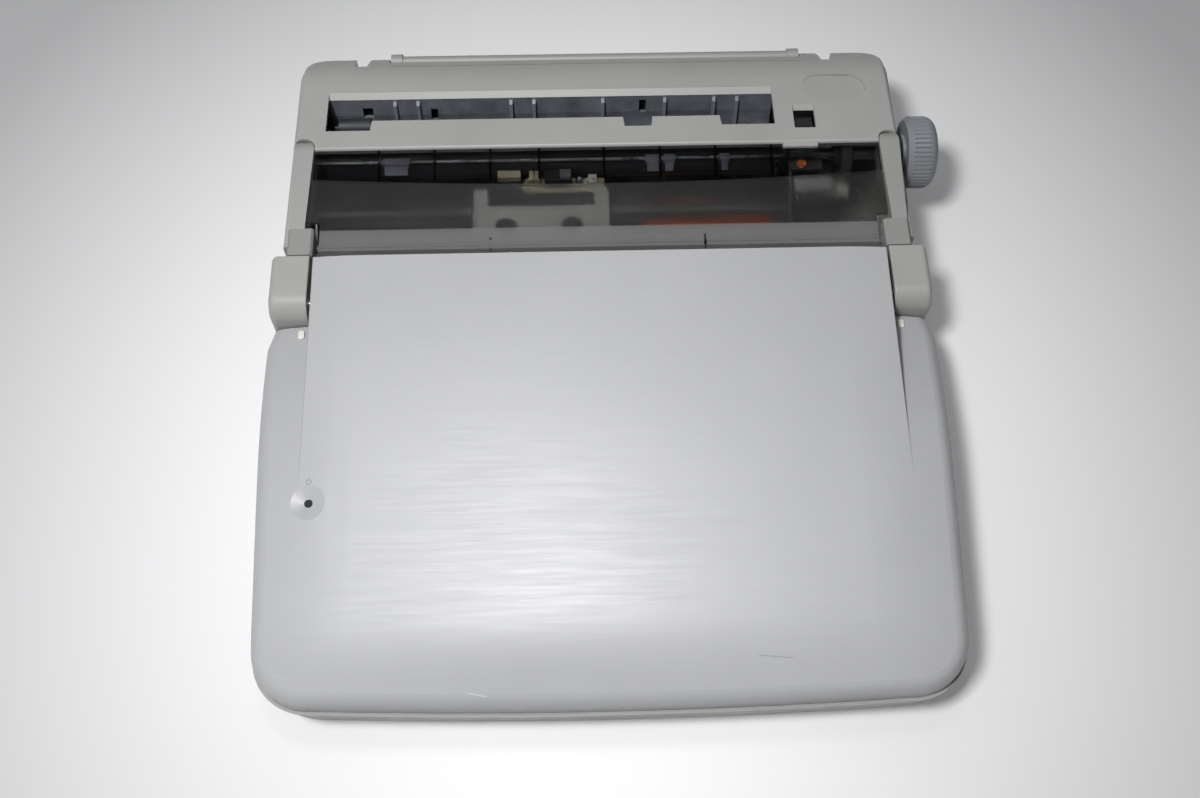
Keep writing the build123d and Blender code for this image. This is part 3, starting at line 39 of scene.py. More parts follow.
# Sizes on the machine, in millimetres from those two lines and from the floor.
KEY_PITCH = 19.05
KEYS_LEFT = -147.6
LEGEND_Z = 40.63  # just above the key tops
LID_REAR = (82.3, 74.0)  # Y and Z of the rear end of the lid's flat top
LID_FALL = math.radians(4.2)
CROWN_START = 132.0  # where the lid's sides begin to fall, from the middle
CROWN_RADIUS = 300.0
CREASE_X = 158.35  # where the lid's flat top meets each falling shoulder
LEFT_WALL = (-177.6, 93.5)  # X and Y of a point on the case's left wall
LEFT_WALL_LEAN = 1.2 / 138.1
COVER_RIBS = (-124.7, -93.1, -61.4, -33.5, 3.5, 35.5, 67.3, 99.5)
COVER_BAR = (104.6, 105.6)  # the thick front bar ends between these two Y
CLEAR_STRIP = (133.5, 134.0)  # the ribs show from between these two Y to the rear
FROST_EDGE = 129.6  # rear edge of the frosted part in the middle
FROST_BOW = (4.9, 160.0)  # how far that edge has bowed back, at this distance from the middle
CHUTE_RIBS = (-118.0, -104.5, -50.0, -36.5, 4.0, 40.5, 69.5, 83.0)

# Fine scratches seen from above, from one point to the other.
COVER_SCRATCHES = (
    ((-13.0, 118.0), (-4.0, 139.0)),
    ((16.0, 126.0), (21.0, 136.0)),
    ((70.0, 120.0), (74.0, 117.0)),
    ((-138.0, 118.0), (-134.0, 113.0)),
    ((108.0, 108.0), (110.5, 104.0)),
)
PALE_LID_SCRATCH = ((-72.1, -156.0), (-60.2, -158.2))
DARK_LID_SCRATCH = ((69.8, -141.7), (90.5, -143.7))

# Smoked acrylic: how much light one pass through each part of the printer's cover leaves.
CLEAR_TINT = (0.34, 0.345, 0.35, 1.0)
FROSTED_TINT = (0.36, 0.36, 0.355, 1.0)
BAR_TINT = (0.25, 0.252, 0.256, 1.0)

# The floor, in metres: its two mixed tones near the machine, the painted shade that its tone fades to far
# off, the grey by which it lights the machine, the share of light that it gives off by itself, its half
# width, and where that painted fall-off of light lies.
FLOOR_TONES = ((0.90, 0.905, 0.92, 1.0), (0.92, 0.925, 0.94, 1.0))
FLOOR_FAR_SHADE = (0.46, 0.465, 0.475, 1.0)
FLOOR_BOUNCE = (0.45, 0.455, 0.465, 1.0)
FLOOR_GLOW = 0.12
FLOOR_HALF = 6.0
FLOOR_MIDDLE = (CASE_X + 0.008, CASE_Y + 0.020)
FLOOR_NARROWING = 1.10
FLOOR_SHADE_FALL = (0.20, 0.50)

# The room's light: its colour, the level of walls and ceiling, the heights of direction (from -1 to 1)
# between which one turns into the other, how much brighter one half is, and the way to that half.
WORLD_COLOUR = (0.985, 0.99, 1.0, 1.0)
WORLD_WALL = 0.06
WORLD_CEILING = 0.30
WORLD_LOW = 0.10
WORLD_HIGH = 0.95
WORLD_SIDE = 0.95
WORLD_BRIGHT_WAY = (-0.85, 0.5, 0.0)

# Two lamps, in metres and watts: one lights the machine, the other gives only the sheen.
LAMP_AT = (-0.36, -0.36, 1.20)
LAMP_TARGET = (0.0, -0.05, 0.0)
LAMP_SIZE = (0.20, 0.18)
LAMP_POWER = 14.0
LAMP_COLOUR = (1.0, 0.995, 0.985)
SHEEN_AT = (-0.08, 0.03, 1.05)
SHEEN_TARGET = (-0.08, -0.12, 0.05)
SHEEN_SIZE = (0.20, 0.14)
SHEEN_POWER = 9.6
SHEEN_COLOUR = (0.99, 0.99, 1.0)

# The camera: its place and sensor in millimetres, its angles in degrees, its focal length in picture widths.
CAMERA_AT = (-14.9, -327.8, 699.6)
CAMERA_DOWN = 63.0
CAMERA_YAW = -2.190
CAMERA_ROLL = 0.813
SENSOR_WIDTH = 36.0
FOCAL_LENGTH = 1350.0 / 1200.0


def place(x, y, z):
    """A point given in millimetres from the case's middle plane, in the row frame."""
    return Vector((x / 1000 + CASE_X, y / 1000 + CASE_Y, z / 1000))


def linear(level):
    """An sRGB level from 0 to 255 as linear light."""
    c = level / 255
    return c / 12.92 if c <= 0.04045 else ((c + 0.055) / 1.055) ** 2.4


def rgb(r, g, b):
    """A colour from sRGB levels."""
    return (linear(r), linear(g), linear(b), 1.0)


# ---------------------------------------------------------------- materials
def new_material(name):
    """A new material with its nodes, its links and its Principled shader."""
    material = bpy.data.materials.new(name)
    material.use_nodes = True
    nodes = material.node_tree.nodes
    shader = nodes["Principled BSDF"]
    return material, nodes, material.node_tree.links, shader


def coordinates(nodes, links, scale=(1.0, 1.0, 1.0)):
    """Object coordinates in metres, stretched by scale."""
    source = nodes.new("ShaderNodeTexCoord")
    mapping = nodes.new("ShaderNodeMapping")
    mapping.inputs["Scale"].default_value = scale
    links.new(source.outputs["Object"], mapping.inputs["Vector"])
    return mapping.outputs["Vector"]


def split_axes(nodes, links, vector):
    """The X, Y and Z of a vector, as sockets."""
    split = nodes.new("ShaderNodeSeparateXYZ")
    links.new(vector, split.inputs["Vector"])
    return split.outputs


def noise(nodes, links, vector, size, detail=3.0, roughness=0.5):
    """Noise whose features are about size metres across."""
    texture = nodes.new("ShaderNodeTexNoise")
    texture.inputs["Scale"].default_value = 1.0 / size
    texture.inputs["Detail"].default_value = detail
    texture.inputs["Roughness"].default_value = roughness
    links.new(vector, texture.inputs["Vector"])
    return texture.outputs["Fac"]


def remap(nodes, links, value, low, high, to_low, to_high):
    """A value moved from one range to another, and held inside it."""
    node = nodes.new("ShaderNodeMapRange")
    node.inputs["From Min"].default_value = low
    node.inputs["From Max"].default_value = high
    node.inputs["To Min"].default_value = to_low
    node.inputs["To Max"].default_value = to_high
    links.new(value, node.inputs["Value"])
    return node.outputs["Result"]


def math_node(nodes, links, operation, a, b):
    """One arithmetic step on two values, each a socket or a number."""
    node = nodes.new("ShaderNodeMath")
    node.operation = operation
    for index, value in enumerate((a, b)):
        if isinstance(value, (int, float)):
            node.inputs[index].default_value = value
        else:
            links.new(value, node.inputs[index])
    return node.outputs["Value"]


def mix_colour(nodes, links, factor, first, second):
    """Two colours blended by a factor; each is a socket or a colour."""
    node = nodes.new("ShaderNodeMix")
    node.data_type = "RGBA"
    links.new(factor, node.inputs["Factor"])
    for key, value in (("A", first), ("B", second)):
        socket = [s for s in node.inputs if s.name == key and s.type == "RGBA"][0]
        if isinstance(value, tuple):
            socket.default_value = value
        else:
            links.new(value, socket)
    return [s for s in node.outputs if s.type == "RGBA"][0]


def bump(nodes, links, shader, height, distance, strength=1.0, after=None):
    """A bump that is distance metres high, on top of an earlier one if given."""
    node = nodes.new("ShaderNodeBump")
    node.inputs["Distance"].default_value = distance
    node.inputs["Strength"].default_value = strength
    links.new(height, node.inputs["Height"])
    if after is not None:
        links.new(after, node.inputs["Normal"])
    links.new(node.outputs["Normal"], shader.inputs["Normal"])
    return node.outputs["Normal"]


def scaled(colour, factor):
    """A colour made lighter or darker."""
    return tuple(c * factor for c in colour[:3]) + (1.0,)


def plastic(name, colour, rough=0.46, grain=0.00045, depth=0.00003, vary=0.05, specks=0.0):
    """Moulded plastic: spark-eroded grain, slow shifts of tone and gloss, and a few dust specks."""
    material, nodes, links, shader = new_material(name)
    vector = coordinates(nodes, links)
    fine = noise(nodes, links, vector, grain, 4.0, 0.6)
    slow = noise(nodes, links, vector, 0.06, 4.0, 0.55)
    tone = remap(nodes, links, slow, 0.3, 0.7, 0.0, 1.0)
    base = mix_colour(nodes, links, tone, scaled(colour, 1.0 - vary), scaled(colour, 1.0 + vary))
    mottled = remap(nodes, links, fine, 0.35, 0.65, 0.0, 0.35)
    base = mix_colour(nodes, links, mottled, base, scaled(colour, 1.0 - 2.2 * vary))
    if specks:
        cells = nodes.new("ShaderNodeTexVoronoi")
        cells.inputs["Scale"].default_value = 160.0
        links.new(vector, cells.inputs["Vector"])
        dot = remap(nodes, links, cells.outputs["Distance"], 0.02, 0.07, specks, 0.0)
        base = mix_colour(nodes, links, dot, base, scaled(colour, 0.45))
    links.new(base, shader.inputs["Base Color"])
    links.new(remap(nodes, links, slow, 0.25, 0.75, rough - 0.05, rough + 0.07), shader.inputs["Roughness"])
    bump(nodes, links, shader, fine, depth)
    return material


def lid_plastic():
    """The lid's satin silver-grey finish: faint streaks along the width, a few fine scratches, and painted
    shade along the crease of each shoulder.
    """
    colour = rgb(176, 177, 180)
    material, nodes, links, shader = new_material("lid_satin")
    vector = coordinates(nodes, links)
    along = coordinates(nodes, links, (1.0, 22.0, 22.0))
    fine = noise(nodes, links, vector, 0.0004, 4.0, 0.6)
    streaks = noise(nodes, links, along, 0.045, 5.0, 0.65)
    slow = noise(nodes, links, vector, 0.09, 3.0, 0.5)
    tone = remap(nodes, links, slow, 0.3, 0.7, 0.0, 1.0)
    base = mix_colour(nodes, links, tone, scaled(colour, 0.965), scaled(colour, 1.03))
    streaked = remap(nodes, links, streaks, 0.35, 0.65, 0.0, 0.3)
    base = mix_colour(nodes, links, streaked, base, scaled(colour, 0.91))
    grained = remap(nodes, links, fine, 0.4, 0.7, 0.0, 0.25)
    base = mix_colour(nodes, links, grained, base, scaled(colour, 0.9))
    # fine scratches: thin threads of strongly stretched cells, kept to a few patches
    turned = nodes.new("ShaderNodeMapping")
    turned.inputs["Rotation"].default_value = (0.0, 0.0, math.radians(31))
    turned.inputs["Scale"].default_value = (9.0, 260.0, 9.0)
    links.new(vector, turned.inputs["Vector"])
    thread = nodes.new("ShaderNodeTexVoronoi")
    thread.feature = "DISTANCE_TO_EDGE"
    thread.inputs["Scale"].default_value = 1.0
    links.new(turned.outputs["Vector"], thread.inputs["Vector"])
    line = remap(nodes, links, thread.outputs["Distance"], 0.0, 0.012, 1.0, 0.0)
    patch = remap(nodes, links, noise(nodes, links, vector, 0.05, 2.0), 0.62, 0.68, 0.0, 0.30)
    scratch = math_node(nodes, links, "MULTIPLY", line, patch)
    base = mix_colour(nodes, links, scratch, base, scaled(colour, 1.35))
    for (start, end), lighter in ((PALE_LID_SCRATCH, 1.5), (DARK_LID_SCRATCH, 0.55)):
        line = thread_mask(nodes, links, vector, start, end, 0.0004)
        worn = math_node(nodes, links, "MULTIPLY", line, 0.7)
        base = mix_colour(nodes, links, worn, base, scaled(colour, lighter))
    # painted shade: a thin dark line along the crease where the flat top meets each falling shoulder
    for x in (-CREASE_X, CREASE_X):
        line = thread_mask(nodes, links, vector, (x, 190.0), (x, -58.0), 0.00045)
        crease_shade = math_node(nodes, links, "MULTIPLY", line, 0.8)
        base = mix_colour(nodes, links, crease_shade, base, scaled(colour, 0.45))
    links.new(base, shader.inputs["Base Color"])
    gloss = math_node(nodes, links, "ADD", remap(nodes, links, streaks, 0.3, 0.7, 0.37, 0.44),
                      remap(nodes, links, slow, 0.3, 0.7, -0.02, 0.03))
    links.new(gloss, shader.inputs["Roughness"])
    shader.inputs["Specular IOR Level"].default_value = 0.55
    first = bump(nodes, links, shader, fine, 0.000022)
    bump(nodes, links, shader, streaks, 0.000014, 0.6, first)
    return material


def metal(name, colour, rough=0.3, brushed=(1.0, 60.0, 60.0), size=0.01, spots=0.15):
    """Bare or plated metal, brushed along one axis, with dull spots."""
    material, nodes, links, shader = new_material(name)
    grain = noise(nodes, links, coordinates(nodes, links, brushed), size, 4.0, 0.6)
    slow = noise(nodes, links, coordinates(nodes, links), 0.018, 4.0, 0.6)
    dull = remap(nodes, links, slow, 0.35, 0.7, 0.0, spots + 0.3)
    base = mix_colour(nodes, links, dull, colour, scaled(colour, 0.72))
    lines = remap(nodes, links, grain, 0.3, 0.7, 0.0, 0.3)
    base = mix_colour(nodes, links, lines, base, scaled(colour, 0.85))
    links.new(base, shader.inputs["Base Color"])
    shader.inputs["Metallic"].default_value = 1.0
    brush = remap(nodes, links, grain, 0.3, 0.7, rough - 0.06, rough + 0.08)
    spotted = remap(nodes, links, slow, 0.4, 0.7, 0.0, spots)
    links.new(math_node(nodes, links, "ADD", brush, spotted), shader.inputs["Roughness"])
    bump(nodes, links, shader, grain, 0.00001)
    return material


def rubber(name, colour, rough=0.72, ground=False):
    """Matt rubber with a dusty bloom; a ground roller has fine rings round it."""
    material, nodes, links, shader = new_material(name)
    vector = coordinates(nodes, links)
    fine = noise(nodes, links, vector, 0.0006, 4.0, 0.6)
    bloom = noise(nodes, links, vector, 0.014, 3.0, 0.5)
    dusty = remap(nodes, links, bloom, 0.4, 0.75, 0.0, 0.4)
    base = mix_colour(nodes, links, dusty, colour, scaled(colour, 1.6))
    links.new(base, shader.inputs["Base Color"])
    links.new(remap(nodes, links, bloom, 0.3, 0.7, rough - 0.1, rough + 0.08), shader.inputs["Roughness"])
    if ground:
        rings = noise(nodes, links, coordinates(nodes, links, (60.0, 1.0, 1.0)), 0.03, 3.0, 0.5)
        bump(nodes, links, shader, rings, 0.000012)
    else:
        bump(nodes, links, shader, fine, 0.00004)
    return material


def let_light_through(nodes, links, shader, tint):
    """Shadow rays pass the sheet as tinted light, so that what is under it is lit."""
    path = nodes.new("ShaderNodeLightPath")
    passing = nodes.new("ShaderNodeBsdfTransparent")
    passing.inputs["Color"].default_value = tint
    mix = nodes.new("ShaderNodeMixShader")
    output = [node for node in nodes if node.type == "OUTPUT_MATERIAL"][0]
    links.new(path.outputs["Is Shadow Ray"], mix.inputs["Fac"])
    links.new(shader.outputs["BSDF"], mix.inputs[1])
    links.new(passing.outputs["BSDF"], mix.inputs[2])
    links.new(mix.outputs["Shader"], output.inputs["Surface"])


def thread_mask(nodes, links, vector, start, end, width):
    """1 along a thin straight line between two points in millimetres, seen from above; width in metres."""
    start, end = place(*start, 0), place(*end, 0)
    along = end - start
    length = along.length
    turned = nodes.new("ShaderNodeMapping")
    turned.vector_type = "TEXTURE"
    turned.inputs["Location"].default_value = start
    turned.inputs["Rotation"].default_value = (0.0, 0.0, math.atan2(along.y, along.x))
    links.new(vector, turned.inputs["Vector"])
    axes = split_axes(nodes, links, turned.outputs["Vector"])
    beside = math_node(nodes, links, "ABSOLUTE", axes["Y"], 0.0)
    across = remap(nodes, links, beside, width * 0.3, width, 1.0, 0.0)
    middle = math_node(nodes, links, "SUBTRACT", axes["X"], length / 2)
    far = math_node(nodes, links, "ABSOLUTE", middle, 0.0)
    inside = remap(nodes, links, far, length * 0.3, length * 0.5, 1.0, 0.0)
    return math_node(nodes, links, "MULTIPLY", across, inside)


def rib_mask(nodes, links, across, x, edge, fade, strength):
    """strength on a rib that runs front to back at x millimetres, 0 beside it; edge and fade in metres."""
    beside = math_node(nodes, links, "SUBTRACT", across, place(x, 0, 0).x)
    off = math_node(nodes, links, "ABSOLUTE", beside, 0.0)
    return remap(nodes, links, off, edge, fade, strength, 0.0)


def frosted_mask(nodes, links, axes):
    """1 on the frosted front part of the cover, whose rear edge bows back towards the sides."""
    bow, reach = FROST_BOW
    middle = math_node(nodes, links, "SUBTRACT", axes["X"], CASE_X)
    square = math_node(nodes, links, "MULTIPLY", middle, middle)
    bowed = math_node(nodes, links, "MULTIPLY", square, bow / 1000 / (reach / 1000) ** 2)
    edge = math_node(nodes, links, "ADD", bowed, place(0, FROST_EDGE, 0).y)
    ahead = math_node(nodes, links, "SUBTRACT", edge, axes["Y"])
    return remap(nodes, links, ahead, -0.0004, 0.0004, 0.0, 1.0)


def smoked_cover():
    """Smoked acrylic cover: a clear ribbed strip at the rear, a frosted part before it, a thick front bar."""
    material, nodes, links, shader = new_material("smoked_acrylic")
    vector = coordinates(nodes, links)
    axes = split_axes(nodes, links, vector)
    frosted = frosted_mask(nodes, links, axes)
    fine = noise(nodes, links, vector, 0.0005, 3.0, 0.6)
    smear = noise(nodes, links, vector, 0.03, 4.0, 0.6)
    dust = remap(nodes, links, noise(nodes, links, vector, 0.0016, 4.0, 0.7), 0.72, 0.85, 0.0, 0.1)
    tint = mix_colour(nodes, links, frosted, CLEAR_TINT, FROSTED_TINT)
    tint = mix_colour(nodes, links, dust, tint, (0.5, 0.5, 0.48, 1.0))
    for start, end in COVER_SCRATCHES:
        line = thread_mask(nodes, links, vector, start, end, 0.00022)
        faint = math_node(nodes, links, "MULTIPLY", line, 0.6)
        tint = mix_colour(nodes, links, faint, tint, (0.75, 0.75, 0.72, 1.0))
    # painted shade: the tint is made near black along the edges of the ribs under the clear strip, where they
    # look dark
    low, high = (place(0, y, 0).y for y in CLEAR_STRIP)
    behind = remap(nodes, links, axes["Y"], low, high, 0.0, 0.85)
    for x in COVER_RIBS:
        near = rib_mask(nodes, links, axes["X"], x, 0.00055, 0.00085, 1.0)
        dark = math_node(nodes, links, "MULTIPLY", near, behind)
        tint = mix_colour(nodes, links, dark, tint, (0.02, 0.02, 0.02, 1.0))
    # the thick bar along the front lets less light through and looks greyer
    low, high = (place(0, y, 0).y for y in COVER_BAR)
    bar = remap(nodes, links, axes["Y"], low, high, 1.0, 0.0)
    tint = mix_colour(nodes, links, bar, tint, BAR_TINT)
    links.new(tint, shader.inputs["Base Color"])
    veil = math_node(nodes, links, "ADD", math_node(nodes, links, "MULTIPLY", bar, 0.5),
                     math_node(nodes, links, "MULTIPLY", frosted, 0.02))
    links.new(math_node(nodes, links, "SUBTRACT", 1.0, veil), shader.inputs["Transmission Weight"])
    haze = math_node(nodes, links, "MULTIPLY", frosted, remap(nodes, links, smear, 0.3, 0.7, 0.38, 0.44))
    clear = remap(nodes, links, smear, 0.35, 0.75, 0.02, 0.06)
    links.new(math_node(nodes, links, "ADD", haze, clear), shader.inputs["Roughness"])
    shader.inputs["IOR"].default_value = 1.1
    shader.inputs["Specular IOR Level"].default_value = 0.1
    grained = math_node(nodes, links, "MULTIPLY", frosted, fine)
    bump(nodes, links, shader, grained, 0.00001)
    let_light_through(nodes, links, shader, (0.42, 0.42, 0.42, 1.0))
    return material


def chute_plastic():
    """The paper chute: clouded blue-black plastic, with a painted highlight along the ribs that the paper
    runs on.
    """
    material, nodes, links, shader = new_material("chute_plastic")
    vector = coordinates(nodes, links)
    axes = split_axes(nodes, links, vector)
    cloud = noise(nodes, links, vector, 0.012, 5.0, 0.6)
    fine = noise(nodes, links, vector, 0.0006, 4.0, 0.6)
    colour = rgb(106, 110, 118)
    clouded = remap(nodes, links, cloud, 0.3, 0.72, 0.0, 1.0)
    base = mix_colour(nodes, links, clouded, scaled(colour, 0.5), scaled(colour, 0.95))
    # painted highlight: the ribs are coloured lighter, where their tops catch the light
    for x in CHUTE_RIBS:
        near = rib_mask(nodes, links, axes["X"], x, 0.0011, 0.0013, 0.8)
        base = mix_colour(nodes, links, near, base, scaled(colour, 1.15))
    links.new(base, shader.inputs["Base Color"])
    links.new(remap(nodes, links, cloud, 0.3, 0.7, 0.34, 0.5), shader.inputs["Roughness"])
    bump(nodes, links, shader, fine, 0.00002)
    return material


def clear_window():
    """The screen's clear anti-glare plastic sheet with faint smears."""
    material, nodes, links, shader = new_material("screen_sheet")
    tint = (0.86, 0.88, 0.86, 1.0)
    smear = noise(nodes, links, coordinates(nodes, links), 0.02, 4.0, 0.6)
    links.new(remap(nodes, links, smear, 0.3, 0.7, 0.12, 0.22), shader.inputs["Roughness"])
    smeared = remap(nodes, links, smear, 0.4, 0.8, 0.0, 0.3)
    links.new(mix_colour(nodes, links, smeared, tint, scaled(tint, 0.85)), shader.inputs["Base Color"])
    shader.inputs["Transmission Weight"].default_value = 0.95
    shader.inputs["IOR"].default_value = 1.2
    let_light_through(nodes, links, shader, (0.9, 0.91, 0.9, 1.0))
    return material


def lcd_film():
    """The unlit screen: grey-green film with its faint grid of dots."""
    material, nodes, links, shader = new_material("lcd_film")
    vector = coordinates(nodes, links)
    dot_pitch = 0.0009
    dots = nodes.new("ShaderNodeTexBrick")
    dots.offset = 0.0
    dots.inputs["Scale"].default_value = 1.0
    dots.inputs["Brick Width"].default_value = dot_pitch
    dots.inputs["Row Height"].default_value = dot_pitch
    dots.inputs["Mortar Size"].default_value = dot_pitch / 10
    dots.inputs["Color1"].default_value = rgb(118, 126, 106)
    dots.inputs["Color2"].default_value = rgb(112, 121, 101)
    dots.inputs["Mortar"].default_value = rgb(126, 133, 113)
    links.new(vector, dots.inputs["Vector"])
    slow = noise(nodes, links, vector, 0.07, 3.0)
    base = mix_colour(nodes, links, remap(nodes, links, slow, 0.35, 0.7, 0.0, 0.4), dots.outputs["Color"],
                      rgb(101, 109, 96))
    links.new(base, shader.inputs["Base Color"])
    shader.inputs["Roughness"].default_value = 0.28
    return material


def circuit_board():
    """Green solder resist with lighter tracks, and a dull sheen."""
    material, nodes, links, shader = new_material("circuit_board")
    vector = coordinates(nodes, links)
    tracks = nodes.new("ShaderNodeTexBrick")
    tracks.inputs["Scale"].default_value = 1.0
    tracks.inputs["Brick Width"].default_value = 0.012
    tracks.inputs["Row Height"].default_value = 0.0018
    tracks.inputs["Mortar Size"].default_value = 0.00025
    tracks.inputs["Color1"].default_value = rgb(22, 78, 44)
    tracks.inputs["Color2"].default_value = rgb(26, 88, 50)
    tracks.inputs["Mortar"].default_value = rgb(58, 120, 74)
    links.new(vector, tracks.inputs["Vector"])
    links.new(tracks.outputs["Color"], shader.inputs["Base Color"])
    worn = noise(nodes, links, vector, 0.01)
    links.new(remap(nodes, links, worn, 0.3, 0.7, 0.32, 0.5), shader.inputs["Roughness"])
    return material


def cable_film():
    """Orange polyimide film with its copper conductors showing as thin lines along it."""
    material, nodes, links, shader = new_material("cable_film")
    vector = coordinates(nodes, links)
    wave = nodes.new("ShaderNodeTexWave")
    wave.bands_direction = "Y"
    wave.inputs["Scale"].default_value = 260.0
    wave.inputs["Distortion"].default_value = 0.0
    links.new(vector, wave.inputs["Vector"])
    base = mix_colour(nodes, links, remap(nodes, links, wave.outputs["Fac"], 0.3, 0.7, 0.0, 1.0),
                      rgb(240, 104, 44), rgb(196, 70, 28))
    links.new(base, shader.inputs["Base Color"])
    worn = noise(nodes, links, vector, 0.004)
    links.new(remap(nodes, links, worn, 0.3, 0.7, 0.3, 0.45), shader.inputs["Roughness"])
    return material


CASE = plastic("case_plastic", rgb(163, 163, 161), 0.42, specks=0.25)
REAR = plastic("printer_case_plastic", rgb(163, 164, 162), 0.40, specks=0.3)
RAIL = plastic("rail_plastic", rgb(143, 144, 142), 0.42, specks=0.25)
GEAR = plastic("gear_plastic", rgb(74, 76, 78), 0.4, depth=0.00002, vary=0.08)
DECK = plastic("deck_plastic", rgb(150, 150, 147), 0.52)
KEY_LIGHT = plastic("key_cream_plastic", rgb(214, 211, 203), 0.5, grain=0.0003, depth=0.00002, vary=0.025)
KEY_GREY = plastic("key_grey_plastic", rgb(133, 135, 137), 0.5, grain=0.0003, depth=0.00002, vary=0.04)
SUPPORT = plastic("support_plastic", rgb(152, 152, 150), 0.45, vary=0.04)
KNOB = plastic("knob_plastic", rgb(130, 134, 139), 0.42, depth=0.00002, vary=0.05)
BLACK = plastic("black_plastic", rgb(38, 39, 41), 0.42, depth=0.00002, vary=0.12)
LEVER = plastic("lever_plastic", rgb(32, 33, 35), 0.36, depth=0.00002, vary=0.1)
WHITE = plastic("white_acetal", rgb(222, 220, 212), 0.38, depth=0.00001, vary=0.02)
CASSETTE = plastic("cassette_plastic", rgb(186, 187, 184), 0.4, vary=0.05)
BEIGE = plastic("beige_plastic", rgb(196, 186, 158), 0.42, vary=0.05)
ORANGE = plastic("orange_plastic", rgb(214, 118, 58), 0.38, vary=0.05)
LENS = plastic("lamp_smoke_plastic", rgb(44, 50, 56), 0.16, grain=0.001, depth=0.000004, vary=0.15)
LID = lid_plastic()
CHUTE = chute_plastic()
LEGEND = plastic("legend_ink", rgb(58, 60, 66), 0.5, grain=0.0002, depth=0.000002, vary=0.06)
LEGEND_PALE = plastic("legend_ink_pale", rgb(226, 226, 222), 0.5, grain=0.0002, depth=0.000002, vary=0.04)
SIGN = plastic("sign_ink", rgb(122, 123, 124), 0.5, grain=0.0002, depth=0.000002, vary=0.06)
SHOE = plastic("guide_shoe_plastic", rgb(122, 124, 136), 0.4, vary=0.05)
STEEL = metal("bright_steel", rgb(196, 197, 199), 0.22)
ZINC = metal("zinc_sheet", rgb(168, 170, 172), 0.36, (1.0, 1.0, 1.0), 0.006, 0.2)
FRAME = metal("frame_sheet", rgb(112, 114, 116), 0.5, (1.0, 1.0, 1.0), 0.006, 0.2)
ROD = metal("oiled_steel", rgb(92, 93, 95), 0.5)
MOTOR = metal("motor_can", rgb(150, 151, 154), 0.34, (1.0, 1.0, 1.0), 0.004, 0.15)
RUBBER = rubber("black_rubber", rgb(40, 40, 41))
PLATEN = rubber("platen_rubber", rgb(50, 52, 56), 0.42, ground=True)
GREY_RUBBER = rubber("grey_rubber", rgb(38, 40, 44), 0.6)
PALE_RUBBER = rubber("pale_rubber", rgb(205, 204, 198), 0.6)
COVER = smoked_cover()
WINDOW = clear_window()
SCREEN = lcd_film()
BOARD = circuit_board()
CABLE = cable_film()

FINISHES = {
    CASE: ("lower_case", "hinge_cover_left", "hinge_cover_right", "release_button_left",
           "release_button_right"),
    REAR: ("printer_top",),
    RAIL: ("side_cover_left", "side_cover_right"),
    GEAR: ("platen_gear",),
    DECK: ("keyboard_deck", "screen_bezel"),
    KEY_LIGHT: ("number_keys", "letter_keys", "home_keys", "shift_keys", "space_bar"),
    KEY_GREY: ("bottom_keys", "function_keys", "eject_button"),
    SUPPORT: ("paper_support",),
    KNOB: ("platen_knob",),
    CHUTE: ("paper_chute",),
    LEVER: ("release_lever",),
    BLACK: ("contrast_slider", "carriage", "supply_hub", "takeup_hub", "mains_inlet",
            "power_switch", "drive_door"),
    WHITE: ("motor_pinion", "idler_pulley", "motor_pulley"),
    CASSETTE: ("ribbon_cassette",),
    BEIGE: ("print_head",),
    ORANGE: ("frame_screw",),
    CABLE: ("head_cable",),
    LENS: ("lamp_lens",),
    LID: ("lid_shell",),
    STEEL: ("case_screws", "hinge_pins", "platen_shaft"),
    ROD: ("guide_shaft",),
    ZINC: ("key_plate", "hinge_brackets", "power_supply", "floppy_drive"),
    FRAME: ("printer_frame",),
    MOTOR: ("feed_motor", "carriage_motor"),
    RUBBER: ("rubber_feet", "drive_belt"),
    PLATEN: ("platen_roller",),
    GREY_RUBBER: ("pinch_rollers", "paper_roller"),
    PALE_RUBBER: ("lid_bumpers",),
    COVER: ("printer_cover",),
    WINDOW: ("screen_window",),
    SCREEN: ("lcd_panel",),
    BOARD: ("main_board",),
}
for material, names in FINISHES.items():
    for name in names:
        slots = NODES[name].data.materials
        slots.clear()
        slots.append(material)


# ---------------------------------------------------------------- pieces built here
def finish_piece(name, bm, material, body):
    """A bmesh in the row frame, in metres, made into an object that rides on a body."""
    mesh = bpy.data.meshes.new(name)
    bm.normal_update()
    bm.to_mesh(mesh)
    bm.free()
    mesh.materials.append(material)
    piece = bpy.data.objects.new(name, mesh)
    bpy.context.scene.collection.objects.link(piece)
    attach(piece, body)


def add_block(bm, low, high, bevel=0.3):
    """A block with rounded edges between two corners, in millimetres."""
    made = bmesh.ops.create_cube(bm, size=1.0)["verts"]
    low, high = place(*low), place(*high)
    for vert in made:
        for axis in range(3):
            vert.co[axis] = high[axis] if vert.co[axis] > 0 else low[axis]
    edges = list({edge for vert in made for edge in vert.link_edges})
    bmesh.ops.bevel(bm, geom=edges, offset=bevel / 1000, segments=2, profile=0.6, affect="EDGES")


def add_turned(bm, centre, axis, steps, segments=32):
    """A turned shape along an axis: steps are (distance along it, radius) pairs in millimetres."""
    centre = place(*centre)
    axis = Vector(axis).normalized()
    side = axis.orthogonal().normalized()
    other = axis.cross(side)
    rings = []
    for along, radius in steps:
        ring = []
        for step in range(segments):
            angle = 2 * math.pi * step / segments
            offset = (side * math.cos(angle) + other * math.sin(angle)) * (radius / 1000)
            ring.append(bm.verts.new(centre + axis * (along / 1000) + offset))
        rings.append(ring)
    for first, second in zip(rings, rings[1:]):
        for step in range(segments):
            after = (step + 1) % segments
            bm.faces.new((first[step], first[after], second[after], second[step]))
    bm.faces.new(list(reversed(rings[0])))
    bm.faces.new(rings[-1])


